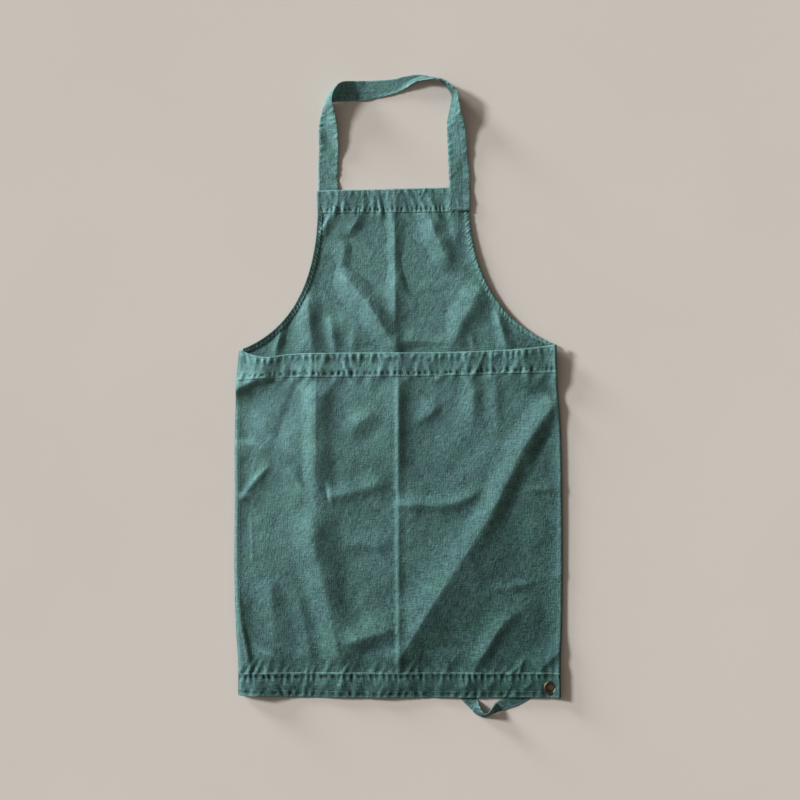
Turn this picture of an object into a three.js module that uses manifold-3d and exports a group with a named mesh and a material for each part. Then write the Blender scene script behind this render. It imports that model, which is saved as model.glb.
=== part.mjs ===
// A bib apron of dyed cotton cloth, lying face up on a flat surface.
// Millimetres: X runs across the apron, Y runs up it to the neck strap, Z is up from the surface.
import * as THREE from "three";
import { mergeVertices } from "three/addons/utils/BufferGeometryUtils.js";
import Module from "manifold-3d";

const { lerp, clamp, smoothstep } = THREE.MathUtils;

// Cloth, tape and the clearance between layers
const CLOTH = 1.0;
const GAP = 0.35;
const LAYER = CLOTH + GAP;
const STRAP_THICK = 2.0;
const LOOP_THICK = 1.6;

// Heights up the apron, and how deep cut edges are tucked into the folded bands
const HEM_SEAM_Y = -443;
const HEM_TUCK = 10;
const BAND_TUCK = 2.5;

// Layers of cloth that each band folds round, and layers that lie under the pouch panel's two sewn edges:
// at the hem the hem band's back leaf and the body, at the mouth a binding's leaf, the body and a band's leaf
const BAND_LAYERS = { bib: 2, binding: 2, pouch: 2, hem: 3 };
const UNDER_POUCH = { hem: 2, mouth: 3 };

// Side edges of the skirt, from the hem up to the waist
const SIDES = [
  { y: -486, left: -255.5, right: 259.5 },
  { y: -430, left: -255.5, right: 259 },
  { y: -372, left: -259, right: 261.5 },
  { y: -290, left: -261.5, right: 262.5 },
  { y: -165, left: -261, right: 262 },
  { y: -55, left: -261, right: 259.5 },
  { y: 25, left: -258, right: 254 },
  { y: 82, left: -253, right: 252 },
];

// Bottom edge of the hem, by the share of the width from the left
const HEM_EDGE = [
  { across: 0, y: -481.5 },
  { across: 0.2, y: -485.5 },
  { across: 1, y: -486.5 },
];

// The pouch's mouth: its folded edge, the seam of its band and how far it gapes off the body
const MOUTH = [
  { across: 0, edge: 72, seam: 22, lift: 0 },
  { across: 0.05, edge: 63, seam: 24, lift: 8 },
  { across: 0.1, edge: 60.5, seam: 25.5, lift: 10 },
  { across: 0.16, edge: 65, seam: 27, lift: 6 },
  { across: 0.29, edge: 67, seam: 27.5, lift: 4 },
  { across: 0.66, edge: 68.5, seam: 30, lift: 4 },
  { across: 0.82, edge: 71.5, seam: 33, lift: 5 },
  { across: 0.92, edge: 75, seam: 34, lift: 9 },
  { across: 1, edge: 80.5, seam: 35, lift: 1 },
];

// Bib: its top corners, and the armholes from the bib band's seam down to the waist
const BIB_TOP = {
  left: new THREE.Vector2(-130, 326),
  right: new THREE.Vector2(115, 332.5),
};
const ARMHOLE = {
  left: new THREE.CubicBezierCurve(
    new THREE.Vector2(-129, 289),
    new THREE.Vector2(-132, 203),
    new THREE.Vector2(-157, 107),
    new THREE.Vector2(-253, 72),
  ),
  right: new THREE.CubicBezierCurve(
    new THREE.Vector2(114.5, 292.5),
    new THREE.Vector2(118, 212.5),
    new THREE.Vector2(151.5, 116.5),
    new THREE.Vector2(252, 80.5),
  ),
};
const BINDING_DEPTH = 9;
const BINDING_SPAN = { start: 0.012, end: 0.92 };

// Soft folds: a ridge from one point to another, its height, and how far its two flanks reach.
// The near flank faces up and to the left, the far flank down and to the right.
const POUCH_FOLDS = [
  { x0: -1, y0: 27, x1: -1, y1: -442, height: 3, near: 18, far: 16 },
  { x0: -128, y0: 27, x1: -125, y1: -176, height: 5, near: 42, far: 20 },
  { x0: -125, y0: -160, x1: -84, y1: -424, height: 5, near: 36, far: 22 },
  { x0: 248, y0: -16, x1: 6, y1: -428, height: 8, near: 42, far: 30 },
  { x0: 216, y0: -336, x1: 131, y1: -437, height: 5, near: 34, far: 22 },
  { x0: -101, y0: -167, x1: 124, y1: -173, height: 3, near: 24, far: 18 },
  { x0: -82, y0: -392, x1: -4, y1: -376, height: 4, near: 30, far: 20 },
  { x0: 128, y0: 27, x1: 129, y1: -72, height: 3, near: 20, far: 18 },
];
const BIB_FOLDS = [
  { x0: -8, y0: 300, x1: -4, y1: 104, height: 3, near: 22, far: 18 },
  { x0: -97, y0: 213, x1: -13, y1: 94, height: 6, near: 30, far: 20 },
  { x0: 57, y0: 300, x1: 78, y1: 232, height: 3, near: 20, far: 18 },
  { x0: 129, y0: 173, x1: 81, y1: 88, height: 5, near: 24, far: 20 },
  { x0: -148, y0: 157, x1: -151, y1: 72, height: 5, near: 20, far: 18 },
  { x0: 152, y0: 139, x1: 161, y1: 75, height: 4.5, near: 20, far: 18 },
  { x0: -95, y0: 300, x1: -125, y1: 240, height: 3, near: 20, far: 20 },
];
const LIGHT_SIDE = new THREE.Vector2(-0.8, 0.6);
const FOLD_END = 0.25;

// How the pouch stands off the body: its slack, and the stretches over which it comes down to its seams
const SLACK = 4.8;
const SIDE_RAMP = 45;
const MOUTH_RAMP = 70;
const HEM_RAMP = 50;
const SEAM_FLAT = 4;

// How the bib lies: stretches over which its folds fade into the binding, the band and the waist
const ARMHOLE_RAMP = { start: 12, end: 50 };
const BAND_RAMP = 45;
const WAIST_RAMP = { start: 90, end: 125 };

// What lies behind the bib band and the hem band lifts them, over a share of the bib or a stretch of X
const STRAP_LIFT = { height: STRAP_THICK + GAP, full: 0.19, none: 0.36 };
const LOOP_LIFT = { height: LOOP_THICK + GAP, none: 52, full: 76 };

// Sections of the neck strap, from behind the bib band's left end round to the front of its right end:
// the outer edge, the inner edge, and how far the tape bows out between them
const STRAP_SECTIONS = [
  { outer: [-128, 294, 1], inner: [-96, 294, 1], bow: 0 },
  { outer: [-128, 331, 1], inner: [-96, 331, 1], bow: 0 },
  { outer: [-128, 368, 1.1], inner: [-96, 368, 3], bow: 0 },
  { outer: [-127, 395, 1.2], inner: [-95.5, 395, 6], bow: 0 },
  { outer: [-127, 420, 1.2], inner: [-96.5, 420, 12], bow: 0 },
  { outer: [-126, 438, 1.2], inner: [-99, 438, 19], bow: 0 },
  { outer: [-123, 451, 1.2], inner: [-102, 452, 25], bow: 1 },
  { outer: [-118, 461, 1.2], inner: [-104, 465, 28.5], bow: 3 },
  { outer: [-110, 467, 1.2], inner: [-104, 474, 30], bow: 5 },
  { outer: [-101, 469, 1.2], inner: [-102, 482, 30], bow: 6 },
  { outer: [-91.5, 469.5, 1.2], inner: [-98, 489.5, 26], bow: 6 },
  { outer: [-82, 469.5, 1.2], inner: [-91.5, 495.5, 20], bow: 4 },
  { outer: [-71, 470, 1.2], inner: [-82, 499, 10], bow: 2 },
  { outer: [-56.5, 470.5, 2], inner: [-67.5, 501, 4], bow: 0 },
  { outer: [-32.5, 474.5, 12], inner: [-42, 502.5, 1.5], bow: 0 },
  { outer: [-5, 482, 22], inner: [-11.5, 504.5, 1.2], bow: 0 },
  { outer: [15.5, 491.5, 27], inner: [10.5, 509.5, 1.2], bow: 0 },
  { outer: [34.5, 501, 31], inner: [30, 512.5, 1.2], bow: 0 },
  { outer: [52.5, 505, 33], inner: [47.5, 510.5, 1.2], bow: 0 },
  { outer: [68.5, 502, 33], inner: [64.5, 504.5, 1.2], bow: 0 },
  { outer: [82.5, 494, 33], inner: [77, 494, 1.2], bow: 0 },
  { outer: [92.5, 482, 32], inner: [84.5, 481.5, 1.2], bow: 0 },
  { outer: [97, 467, 30], inner: [84.5, 466, 1.2], bow: 0 },
  { outer: [101, 451, 24.5], inner: [80.5, 451, 1.2], bow: 0 },
  { outer: [104.5, 436.5, 17], inner: [77.5, 436.5, 1.2], bow: 0 },
  { outer: [108.5, 412.5, 10], inner: [78, 412.5, 1.5], bow: 0 },
  { outer: [112, 379, 6], inner: [79.5, 379, 4], bow: 0 },
  { outer: [114.5, 340, 5.1], inner: [81, 340, 5.1], bow: 0 },
  { outer: [114.5, 294, 5.1], inner: [81, 294, 5.1], bow: 0 },
];
const STRAP_STEPS = 64;

// Sections of the hang loop, from its left end behind the hem round to its right end
const LOOP_SECTIONS = [
  { outer: [82.5, -469, 0.8], inner: [100.5, -459.5, 0.8], bow: 0 },
  { outer: [98.5, -485, 0.8], inner: [116.5, -475, 0.8], bow: 0 },
  { outer: [108.5, -495.5, 0.8], inner: [126, -486, 1], bow: 0 },
  { outer: [119.5, -506, 0.9], inner: [129, -496.5, 14], bow: 0 },
  { outer: [129, -512.5, 0.9], inner: [133, -503.5, 18], bow: 0 },
  { outer: [138, -514.5, 0.9], inner: [138.5, -508.5, 20], bow: 0 },
  { outer: [147.5, -511.5, 0.9], inner: [144.5, -506, 19.5], bow: 0 },
  { outer: [161, -506.5, 0.9], inner: [149, -499, 14], bow: 0 },
  { outer: [174, -503, 0.8], inner: [157, -491, 3], bow: 0 },
  { outer: [191.5, -497, 0.8], inner: [175.5, -482.5, 0.8], bow: 0 },
  { outer: [210.5, -486.5, 0.8], inner: [196.5, -472.5, 0.8], bow: 0 },
  { outer: [222, -480.5, 0.8], inner: [209, -466, 0.8], bow: 0 },
];
const LOOP_STEPS = 34;

// Eyelet in the hem's right corner, set on a washer behind the cloth
const EYELET = { x: 243.5, y: -467.5, bore: 6, barrel: 6.9, flange: 11.5, crown: 1.8 };
const WASHER = { bore: EYELET.barrel + GAP, rim: 11, base: 0.4, thick: 1.2 };
const PUNCH_LENGTH = 40;
const ROUND_SIDES = 24;

// Grid of the cloth: columns are shared by every layer, so that stacked facets stay parallel
const COLUMNS = 28;
const POUCH_ROWS = 24;
const SKIRT_ROWS_Y = [
  HEM_SEAM_Y - HEM_TUCK,
  HEM_SEAM_Y + SEAM_FLAT,
  HEM_SEAM_Y + (SEAM_FLAT + HEM_RAMP) / 2,
  HEM_SEAM_Y + HEM_RAMP,
  -240,
  -85,
  45,
];
const BODY_ROWS = { skirt: SKIRT_ROWS_Y.length, bib: 12, band: 1 };
const FOLD_STEPS = 4;
const TAPE_STRIPS = 3;

// Finishes: the cloth fades and darkens a little from piece to piece, and the metal is dark aged brass
const CLOTH_COLOUR = { panel: 0x4d7672, band: 0x4a716d, binding: 0x527d78, hem: 0x446a66, strap: 0x557f7a };
const CLOTH_ROUGHNESS = 0.92;
const BRASS_COLOUR = 0x5b5140;
const BRASS_ROUGHNESS = 0.42;

const wasm = await Module();
wasm.setup();

// Value of a table's column at a place between its rows
function readTable(rows, by, column, at) {
  const last = rows.length - 1;
  let i = 0;
  while (i < last - 1 && at > rows[i + 1][by]) i += 1;
  const share = clamp((at - rows[i][by]) / (rows[i + 1][by] - rows[i][by]), 0, 1);
  return lerp(rows[i][column], rows[i + 1][column], share);
}

// X of a column of the skirt at a height
function skirtX(u, y) {
  return lerp(readTable(SIDES, "y", "left", y), readTable(SIDES, "y", "right", y), u);
}

// Height that a table of folds adds at a point: each fold is a smooth ridge that dies away at its ends
function foldHeight(folds, x, y) {
  let total = 0;
  for (const fold of folds) {
    const along = new THREE.Vector2(fold.x1 - fold.x0, fold.y1 - fold.y0);
    const length = along.length();
    along.normalize();
    const across = new THREE.Vector2(-along.y, along.x);
    if (across.dot(LIGHT_SIDE) < 0) across.negate();
    const from = new THREE.Vector2(x - fold.x0, y - fold.y0);
    const share = from.dot(along) / length;
    const offset = from.dot(across);
    const reach = offset > 0 ? fold.near : fold.far;
    const ends = smoothstep(share, 0, FOLD_END) * smoothstep(1 - share, 0, FOLD_END);
    const flank = Math.max(0, 1 - (offset / reach) ** 2) ** 2;
    total += fold.height * ends * flank;
  }
  return total;
}

// Lift of the hem over the loop's ends and the washer, and of the bib band over the strap's left end
function hemLift(x) {
  return LOOP_LIFT.height * smoothstep(x, LOOP_LIFT.none, LOOP_LIFT.full);
}

function bibBandLift(u) {
  return STRAP_LIFT.height * (1 - smoothstep(u, STRAP_LIFT.full, STRAP_LIFT.none));
}

// Underside of the pouch panel: slack and folds inside, down on its seams at the sides, hem and mouth
function mouthUnderside(u) {
  return UNDER_POUCH.mouth * LAYER + readTable(MOUTH, "across", "lift", u);
}

function pouchUnderside(u, x, y) {
  const toSide = Math.min(x - skirtX(0, y), skirtX(1, y) - x);
  const inside = smoothstep(toSide, 0, SIDE_RAMP);
  const slack = LAYER + inside * (SLACK + foldHeight(POUCH_FOLDS, x, y));
  const seam = readTable(MOUTH, "across", "seam", u);
  const toMouth = smoothstep(y, seam - MOUTH_RAMP, seam - SEAM_FLAT);
  const low = lerp(slack, mouthUnderside(u), toMouth);
  const toHem = smoothstep(y, HEM_SEAM_Y + SEAM_FLAT, HEM_SEAM_Y + HEM_RAMP);
  return lerp(UNDER_POUCH.hem * LAYER + hemLift(x), low, toHem);
}

// Underside of the body: flat behind the pouch, folded on the bib, seated on the bands and bindings
function skirtUnderside(x, y) {
  const toHem = smoothstep(y, HEM_SEAM_Y + SEAM_FLAT, HEM_SEAM_Y + HEM_RAMP);
  return lerp(LAYER + hemLift(x), 0, toHem);
}

function bibUnderside(u, x, y, width) {
  const toEdge = Math.min(u, 1 - u) * width;
  const inside = smoothstep(toEdge, ARMHOLE_RAMP.start, ARMHOLE_RAMP.end);
  const waist = smoothstep(y, WAIST_RAMP.start, WAIST_RAMP.end);
  const soft = lerp(LAYER, waist * foldHeight(BIB_FOLDS, x, y), inside);
  const seamY = lerp(ARMHOLE.left.v0.y, ARMHOLE.right.v0.y, u);
  const toBand = smoothstep(y, seamY - BAND_RAMP, seamY - SEAM_FLAT);
  return lerp(soft, LAYER + bibBandLift(u), toBand);
}

// A closed slab, one cloth thick, whose every vertex is placed by its column, row and side
function slab(columns, rows, place) {
  const box = new THREE.BoxGeometry(1, 1, 1, columns, rows, 1);
  box.deleteAttribute("normal");
  box.deleteAttribute("uv");
  box.clearGroups();
  const geometry = mergeVertices(box);
  const spots = geometry.attributes.position;
  for (let i = 0; i < spots.count; i += 1) {
    const u = Math.round((spots.getX(i) + 0.5) * columns) / columns;
    const row = Math.round((spots.getY(i) + 0.5) * rows);
    const point = place(u, row, spots.getZ(i));
    spots.setXYZ(i, point.x, point.y, point.z);
  }
  return facingOut(geometry);
}

// The same closed surface with its triangles wound so that they face out
function facingOut(geometry) {
  const spots = geometry.attributes.position;
  const index = geometry.index;
  const corners = [new THREE.Vector3(), new THREE.Vector3(), new THREE.Vector3()];
  let volume = 0;
  for (let i = 0; i < index.count; i += 3) {
    corners.forEach((corner, k) => corner.fromBufferAttribute(spots, index.getX(i + k)));
    volume += corners[0].dot(corners[1].clone().cross(corners[2]));
  }
  if (volume < 0) {
    for (let i = 0; i < index.count; i += 3) {
      const swap = index.getX(i);
      index.setX(i, index.getX(i + 1));
      index.setX(i + 1, swap);
    }
  }
  return geometry;
}

// Point of an armhole at a share of its length, a distance in from its edge
function armholePoint(side, t, inward) {
  const tangent = ARMHOLE[side].getTangent(t);
  const across = new THREE.Vector2(-tangent.y, tangent.x);
  if (side === "right") across.negate();
  return ARMHOLE[side].getPoint(t).addScaledVector(across, inward);
}

// Point of the body's outline grid: skirt rows first, then the bib between its armholes, then its band
function bodyPlan(u, row) {
  const { skirt, bib } = BODY_ROWS;
  if (row <= skirt) {
    const waistY = lerp(ARMHOLE.left.v3.y, ARMHOLE.right.v3.y, u);
    const y = row < skirt ? SKIRT_ROWS_Y[row] : waistY;
    return new THREE.Vector2(skirtX(u, y), y);
  }
  if (row <= skirt + bib) {
    const t = 1 - (row - skirt) / bib;
    return armholePoint("left", t, BAND_TUCK).lerp(armholePoint("right", t, BAND_TUCK), u);
  }
  return bibBandPlan(u, BAND_TUCK);
}

function bodyGeometry() {
  const rows = BODY_ROWS.skirt + BODY_ROWS.bib + BODY_ROWS.band;
  return slab(COLUMNS, rows, (u, row, side) => {
    const plan = bodyPlan(u, row);
    const width = bodyPlan(1, row).x - bodyPlan(0, row).x;
    const onSkirt = row < BODY_ROWS.skirt;
    const low = onSkirt ? skirtUnderside(plan.x, plan.y) : bibUnderside(u, plan.x, plan.y, width);
    return new THREE.Vector3(plan.x, plan.y, low + (side + 0.5) * CLOTH);
  });
}

function pouchGeometry() {
  return slab(COLUMNS, POUCH_ROWS, (u, row, side) => {
    const top = readTable(MOUTH, "across", "edge", u) - BAND_TUCK;
    const y = lerp(HEM_SEAM_Y - HEM_TUCK, top, row / POUCH_ROWS);
    const x = skirtX(u, y);
    return new THREE.Vector3(x, y, pouchUnderside(u, x, y) + (side + 0.5) * CLOTH);
  });
}

// Section of a folded band: from the end of its front leaf, round the fold, to the end of its back leaf.
// A row has the height over the fold's middle, the way it faces and, round the fold, the depth in from the edge.
function bandSection(layers) {
  const radius = (layers * LAYER) / 2;
  const middle = radius + CLOTH / 2;
  const section = [{ rise: radius, faceIn: 0, faceUp: 1 }];
  for (let i = 0; i <= FOLD_STEPS; i += 1) {
    const turn = Math.PI * (i / FOLD_STEPS);
    const [faceIn, faceUp] = [-Math.sin(turn), Math.cos(turn)];
    section.push({ depth: middle + radius * faceIn, rise: radius * faceUp, faceIn, faceUp });
  }
  section.push({ rise: -radius, faceIn: 0, faceUp: -1 });
  return section;
}

// A band folded round an edge: plan gives the point at a depth in from the edge,
// depth gives the leaf's depth and low the underside of its back leaf
function bandGeometry(columns, { layers, plan, depth, low }) {
  const section = bandSection(layers);
  const half = (layers * LAYER + CLOTH) / 2;
  return slab(columns, section.length - 1, (u, row, side) => {
    const { depth: foldDepth, rise, faceIn, faceUp } = section[row];
    const spot = plan(u, (foldDepth ?? depth(u)) + side * CLOTH * faceIn);
    return new THREE.Vector3(spot.x, spot.y, low(u) + half + rise + side * CLOTH * faceUp);
  });
}

function bibBandPlan(u, inward) {
  const top = BIB_TOP.left.clone().lerp(BIB_TOP.right, u);
  const seam = ARMHOLE.left.v0.clone().lerp(ARMHOLE.right.v0, u);
  return top.lerp(seam, inward / top.distanceTo(seam));
}

function bibBandGeometry() {
  const depth = (u) => bibBandPlan(u, 0).distanceTo(ARMHOLE.left.v0.clone().lerp(ARMHOLE.right.v0, u));
  return bandGeometry(COLUMNS, { layers: BAND_LAYERS.bib, plan: bibBandPlan, depth, low: bibBandLift });
}

function pouchBandGeometry() {
  const edge = (u) => readTable(MOUTH, "across", "edge", u);
  const plan = (u, inward) => {
    const y = edge(u) - inward;
    return new THREE.Vector2(skirtX(u, y), y);
  };
  const depth = (u) => edge(u) - readTable(MOUTH, "across", "seam", u);
  const low = (u) => mouthUnderside(u) - LAYER;
  return bandGeometry(COLUMNS, { layers: BAND_LAYERS.pouch, plan, depth, low });
}

function hemBandGeometry() {
  const edge = (u) => readTable(HEM_EDGE, "across", "y", u);
  const plan = (u, inward) => {
    const y = edge(u) + inward;
    return new THREE.Vector2(skirtX(u, y), y);
  };
  const depth = (u) => HEM_SEAM_Y - edge(u);
  const low = (u) => hemLift(skirtX(u, HEM_SEAM_Y));
  const band = bandGeometry(COLUMNS, { layers: BAND_LAYERS.hem, plan, depth, low });
  const hole = new THREE.CylinderGeometry(WASHER.bore, WASHER.bore, PUNCH_LENGTH, ROUND_SIDES);
  hole.rotateX(Math.PI / 2);
  hole.translate(EYELET.x, EYELET.y, 0);
  return cut(band, hole);
}

function bindingGeometry(side) {
  const share = (u) => lerp(BINDING_SPAN.start, BINDING_SPAN.end, u);
  const plan = (u, inward) => armholePoint(side, share(u), inward);
  const low = (u) => {
    const edge = plan(u, 0);
    return bibUnderside(side === "left" ? 0 : 1, edge.x, edge.y, 0) - LAYER;
  };
  const depth = () => BINDING_DEPTH;
  return bandGeometry(BODY_ROWS.bib, { layers: BAND_LAYERS.binding, plan, depth, low });
}

// A tape through its sections: edges run on smooth curves, no lower than the surface lets them lie,
// and the tape bows out between them
function tapeGeometry(sections, steps, thick) {
  const edges = ["outer", "inner"].map(
    (edge) => new THREE.CatmullRomCurve3(sections.map((row) => new THREE.Vector3(...row[edge]))),
  );
  const bows = new THREE.SplineCurve(sections.map((row, i) => new THREE.Vector2(i, row.bow)));
  const middle = (t, share) => {
    const [outer, inner] = edges.map((edge) => edge.getPoint(t));
    const along = edges[0].getTangent(t).add(edges[1].getTangent(t));
    const out = inner.clone().sub(outer).cross(along).normalize();
    const bow = 4 * share * (1 - share) * bows.getPoint(t).y;
    const spot = outer.lerp(inner, share).addScaledVector(out, bow);
    spot.z = Math.max(spot.z, thick / 2);
    return spot;
  };
  const nudge = 1e-3;
  return slab(steps, TAPE_STRIPS, (u, row, side) => {
    const share = row / TAPE_STRIPS;
    const along = middle(Math.min(1, u + nudge), share).sub(middle(Math.max(0, u - nudge), share));
    const across = middle(u, share + nudge).sub(middle(u, share - nudge));
    const out = across.cross(along).normalize();
    return middle(u, share).addScaledVector(out, side * thick);
  });
}

// A ring turned round the Z axis from a closed profile of [radius, height] points
function ring(profile) {
  const points = [...profile, profile[0]].map(([radius, height]) => new THREE.Vector2(radius, height));
  const lathe = new THREE.LatheGeometry(points, ROUND_SIDES);
  lathe.deleteAttribute("normal");
  lathe.deleteAttribute("uv");
  lathe.rotateX(Math.PI / 2);
  return facingOut(mergeVertices(lathe));
}

// Eyelet: a barrel through the hem with a flange rolled over its front
function eyeletGeometry() {
  const seat = hemLift(EYELET.x) + (BAND_LAYERS.hem + 1) * LAYER;
  const top = seat + EYELET.crown;
  return ring([
    [EYELET.bore, WASHER.base],
    [EYELET.barrel, WASHER.base],
    [EYELET.barrel, seat],
    [EYELET.flange, seat],
    [EYELET.flange - EYELET.crown / 4, seat + EYELET.crown / 2],
    [EYELET.flange - EYELET.crown, top],
    [EYELET.barrel + EYELET.crown, top],
    [EYELET.bore, seat + EYELET.crown / 2],
  ]);
}

function washerGeometry() {
  const top = WASHER.base + WASHER.thick;
  return ring([
    [WASHER.bore, WASHER.base],
    [WASHER.rim, WASHER.base],
    [WASHER.rim, top],
    [WASHER.bore, top],
  ]);
}

// One closed surface less another
function cut(geometry, tool) {
  const [solid, cutter] = [geometry, tool].map((shape) => {
    const bare = shape.clone();
    bare.deleteAttribute("normal");
    bare.deleteAttribute("uv");
    const merged = mergeVertices(bare);
    const vertProperties = new Float32Array(merged.attributes.position.array);
    const triVerts = new Uint32Array(merged.index.array);
    return new wasm.Manifold(new wasm.Mesh({ numProp: 3, vertProperties, triVerts }));
  });
  const { vertProperties, triVerts } = solid.subtract(cutter).getMesh();
  const result = new THREE.BufferGeometry();
  result.setAttribute("position", new THREE.BufferAttribute(vertProperties, 3));
  result.setIndex(new THREE.BufferAttribute(triVerts, 1));
  return result;
}

function cloth(color) {
  return new THREE.MeshStandardMaterial({ color, roughness: CLOTH_ROUGHNESS, metalness: 0 });
}

function brass() {
  return new THREE.MeshStandardMaterial({ color: BRASS_COLOUR, roughness: BRASS_ROUGHNESS, metalness: 1 });
}

function part(name, geometry, material, x = 0, y = 0) {
  const mesh = new THREE.Mesh(geometry, material);
  mesh.name = name;
  mesh.position.set(x, y, 0);
  return mesh;
}

const apron = new THREE.Group();
apron.add(
  part("apron_body", bodyGeometry(), cloth(CLOTH_COLOUR.panel)),
  part("bib_band", bibBandGeometry(), cloth(CLOTH_COLOUR.band)),
  part("armhole_binding_left", bindingGeometry("left"), cloth(CLOTH_COLOUR.binding)),
  part("armhole_binding_right", bindingGeometry("right"), cloth(CLOTH_COLOUR.binding)),
  part("pouch_panel", pouchGeometry(), cloth(CLOTH_COLOUR.panel)),
  part("pouch_band", pouchBandGeometry(), cloth(CLOTH_COLOUR.band)),
  part("hem_band", hemBandGeometry(), cloth(CLOTH_COLOUR.hem)),
  part("neck_strap", tapeGeometry(STRAP_SECTIONS, STRAP_STEPS, STRAP_THICK), cloth(CLOTH_COLOUR.strap)),
  part("hang_loop", tapeGeometry(LOOP_SECTIONS, LOOP_STEPS, LOOP_THICK), cloth(CLOTH_COLOUR.panel)),
  part("eyelet", eyeletGeometry(), brass(), EYELET.x, EYELET.y),
  part("eyelet_washer", washerGeometry(), brass(), EYELET.x, EYELET.y),
);

export default apron;
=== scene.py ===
"""Looks of a bib apron of garment-dyed cotton that lies face up on a pale floor.

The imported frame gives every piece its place. Shapes are drawn in millimetres in the part's own frame,
with X across the apron, Y up it to the neck strap and Z up from the floor, and go into the meshes in
metres.
"""

import logging
import math
from dataclasses import dataclass
from enum import Enum
from typing import Sequence, Union

import bpy
import numpy as np
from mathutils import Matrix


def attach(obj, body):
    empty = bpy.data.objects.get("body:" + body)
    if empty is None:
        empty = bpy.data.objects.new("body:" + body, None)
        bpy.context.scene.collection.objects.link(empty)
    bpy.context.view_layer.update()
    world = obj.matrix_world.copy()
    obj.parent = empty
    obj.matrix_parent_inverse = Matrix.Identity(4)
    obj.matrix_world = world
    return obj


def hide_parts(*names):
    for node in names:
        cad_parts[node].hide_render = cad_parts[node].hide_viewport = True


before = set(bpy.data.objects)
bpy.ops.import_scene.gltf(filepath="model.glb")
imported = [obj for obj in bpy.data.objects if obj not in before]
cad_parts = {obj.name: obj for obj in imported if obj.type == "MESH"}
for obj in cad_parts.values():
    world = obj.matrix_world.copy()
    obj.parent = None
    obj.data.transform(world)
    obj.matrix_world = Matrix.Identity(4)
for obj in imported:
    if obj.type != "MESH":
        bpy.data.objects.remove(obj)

LOG = logging.getLogger("bib_apron")

Array = np.ndarray
Colour = tuple[float, float, float]
Line = tuple[tuple[float, float], ...]
Table = tuple[tuple[float, ...], ...]
Point = tuple[float, float, float]
StitchRow = tuple[Array, Array]

MM = 0.001
# The cloth's thickness, the clearance between two cloths, and the pitch of cloths that lie on each other
CLOTH = 1.0
GAP = 0.35
LAYER = CLOTH + GAP
TINY = 1e-9
UV_NAME = "cloth"
RELIEF_NAME = "relief"

# Direction to the light in plan: a fold is bright on the flank that faces it
TOWARDS_LIGHT = np.array([-0.92, 0.38])
UPRIGHT = np.array([0.0, 0.0, 1.0])


# Numbers on curves and grids


def ease(value: Array, low: Union[float, Array], high: Union[float, Array]) -> Array:
    """Goes smoothly from 0 at low to 1 at high, as 3t² - 2t³ of the share t of the way.

    Args:
        value: Where to read the step.
        low: Where it starts.
        high: Where it ends.

    Returns:
        The step's height at each value.
    """
    share = np.clip((value - low) / (high - low), 0.0, 1.0)
    return share * share * (3.0 - 2.0 * share)


def mix(first: Array, second: Array, share: Array) -> Array:
    """Goes in a straight line from first to second by a share from 0 to 1."""
    return first + (second - first) * share


def read_curve(places: Array, values: Array, at: Array) -> Array:
    """Reads a smooth curve through points: cubics between them, with the mean of the chords as slopes.

    Args:
        places: The points' places, in rising order.
        values: The points' values.
        at: Where to read the curve.

    Returns:
        The curve's value at each place, held at the ends.
    """
    chords = np.diff(values) / np.diff(places)
    slopes = np.concatenate([chords[:1], (chords[1:] + chords[:-1]) / 2.0, chords[-1:]])
    i = np.clip(np.searchsorted(places, at, side="right") - 1, 0, len(places) - 2)
    step = places[i + 1] - places[i]
    t = np.clip((at - places[i]) / step, 0.0, 1.0)
    back = 1.0 - t
    ends = back * back * (1.0 + 2.0 * t) * values[i] + t * t * (3.0 - 2.0 * t) * values[i + 1]
    return ends + step * t * back * (back * slopes[i] - t * slopes[i + 1])


def read_table(table: Table, column: int, at: Array) -> Array:
    """Reads one column of a short table, on a smooth curve over the places in its first column."""
    rows = np.asarray(table, dtype=float)
    return read_curve(rows[:, 0], rows[:, column], np.asarray(at, dtype=float))


def distance_along(line: Array) -> Array:
    """Distance along a line of points to each of them: the running sum of its steps' lengths."""
    steps = np.linalg.norm(np.diff(line, axis=0), axis=1)
    return np.concatenate([[0.0], np.cumsum(steps)])


def edge_columns(count: int, near: Sequence[float] = (0.0, 0.0006, 0.0016, 0.0034)) -> Array:
    """Shares from 0 to 1 in even steps, and a few more close to both ends, where a cut edge is rounded.

    Args:
        count: How many shares to take in even steps.
        near: The shares close to an end, from 0 up.

    Returns:
        The shares in rising order.
    """
    ends = np.asarray(near)
    middle = np.linspace(2.0 * ends[-1], 1.0 - 2.0 * ends[-1], count)
    return np.concatenate([ends, middle, 1.0 - ends[::-1]])


def edge_fullness(distance: Array, radius: float = 1.6, least: float = 0.18) -> Array:
    """Share of the cloth's thickness near a cut edge: a quarter circle from the least share up to full.

    Args:
        distance: Distance in from the edge.
        radius: Distance over which the edge is rounded.
        least: Share of the thickness left at the edge itself.

    Returns:
        The share at each distance.
    """
    back = 1.0 - np.clip(distance / radius, 0.0, 1.0)
    return np.maximum(np.sqrt(1.0 - back * back), least)


def side_gap(across: Array, width: Union[float, Array]) -> Array:
    """Distance in from the nearer side, at a share across a strip of that width."""
    return np.minimum(across, 1.0 - across) * width


def side_fullness(across: Array, x: Array) -> Array:
    """Share of the cloth's thickness in rows of places, thinned towards the sides that they end at."""
    return edge_fullness(side_gap(across, x[:, -1:] - x[:, :1]))


def rolled_edge(distance: Array, reach: float, rim: float) -> Array:
    """Share of its lift near a curled edge: the square of the closeness, rounded down again over the rim.

    Args:
        distance: Distance in from the edge.
        reach: Distance over which the cloth lifts.
        rim: Distance over which the very edge turns down.

    Returns:
        The share at each distance.
    """
    closeness = np.clip(1.0 - distance / reach, 0.0, 1.0)
    return closeness**2 * (0.5 + 0.5 * ease(distance, 0.0, rim))


# Folds, puckers and unevenness of cloth


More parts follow.
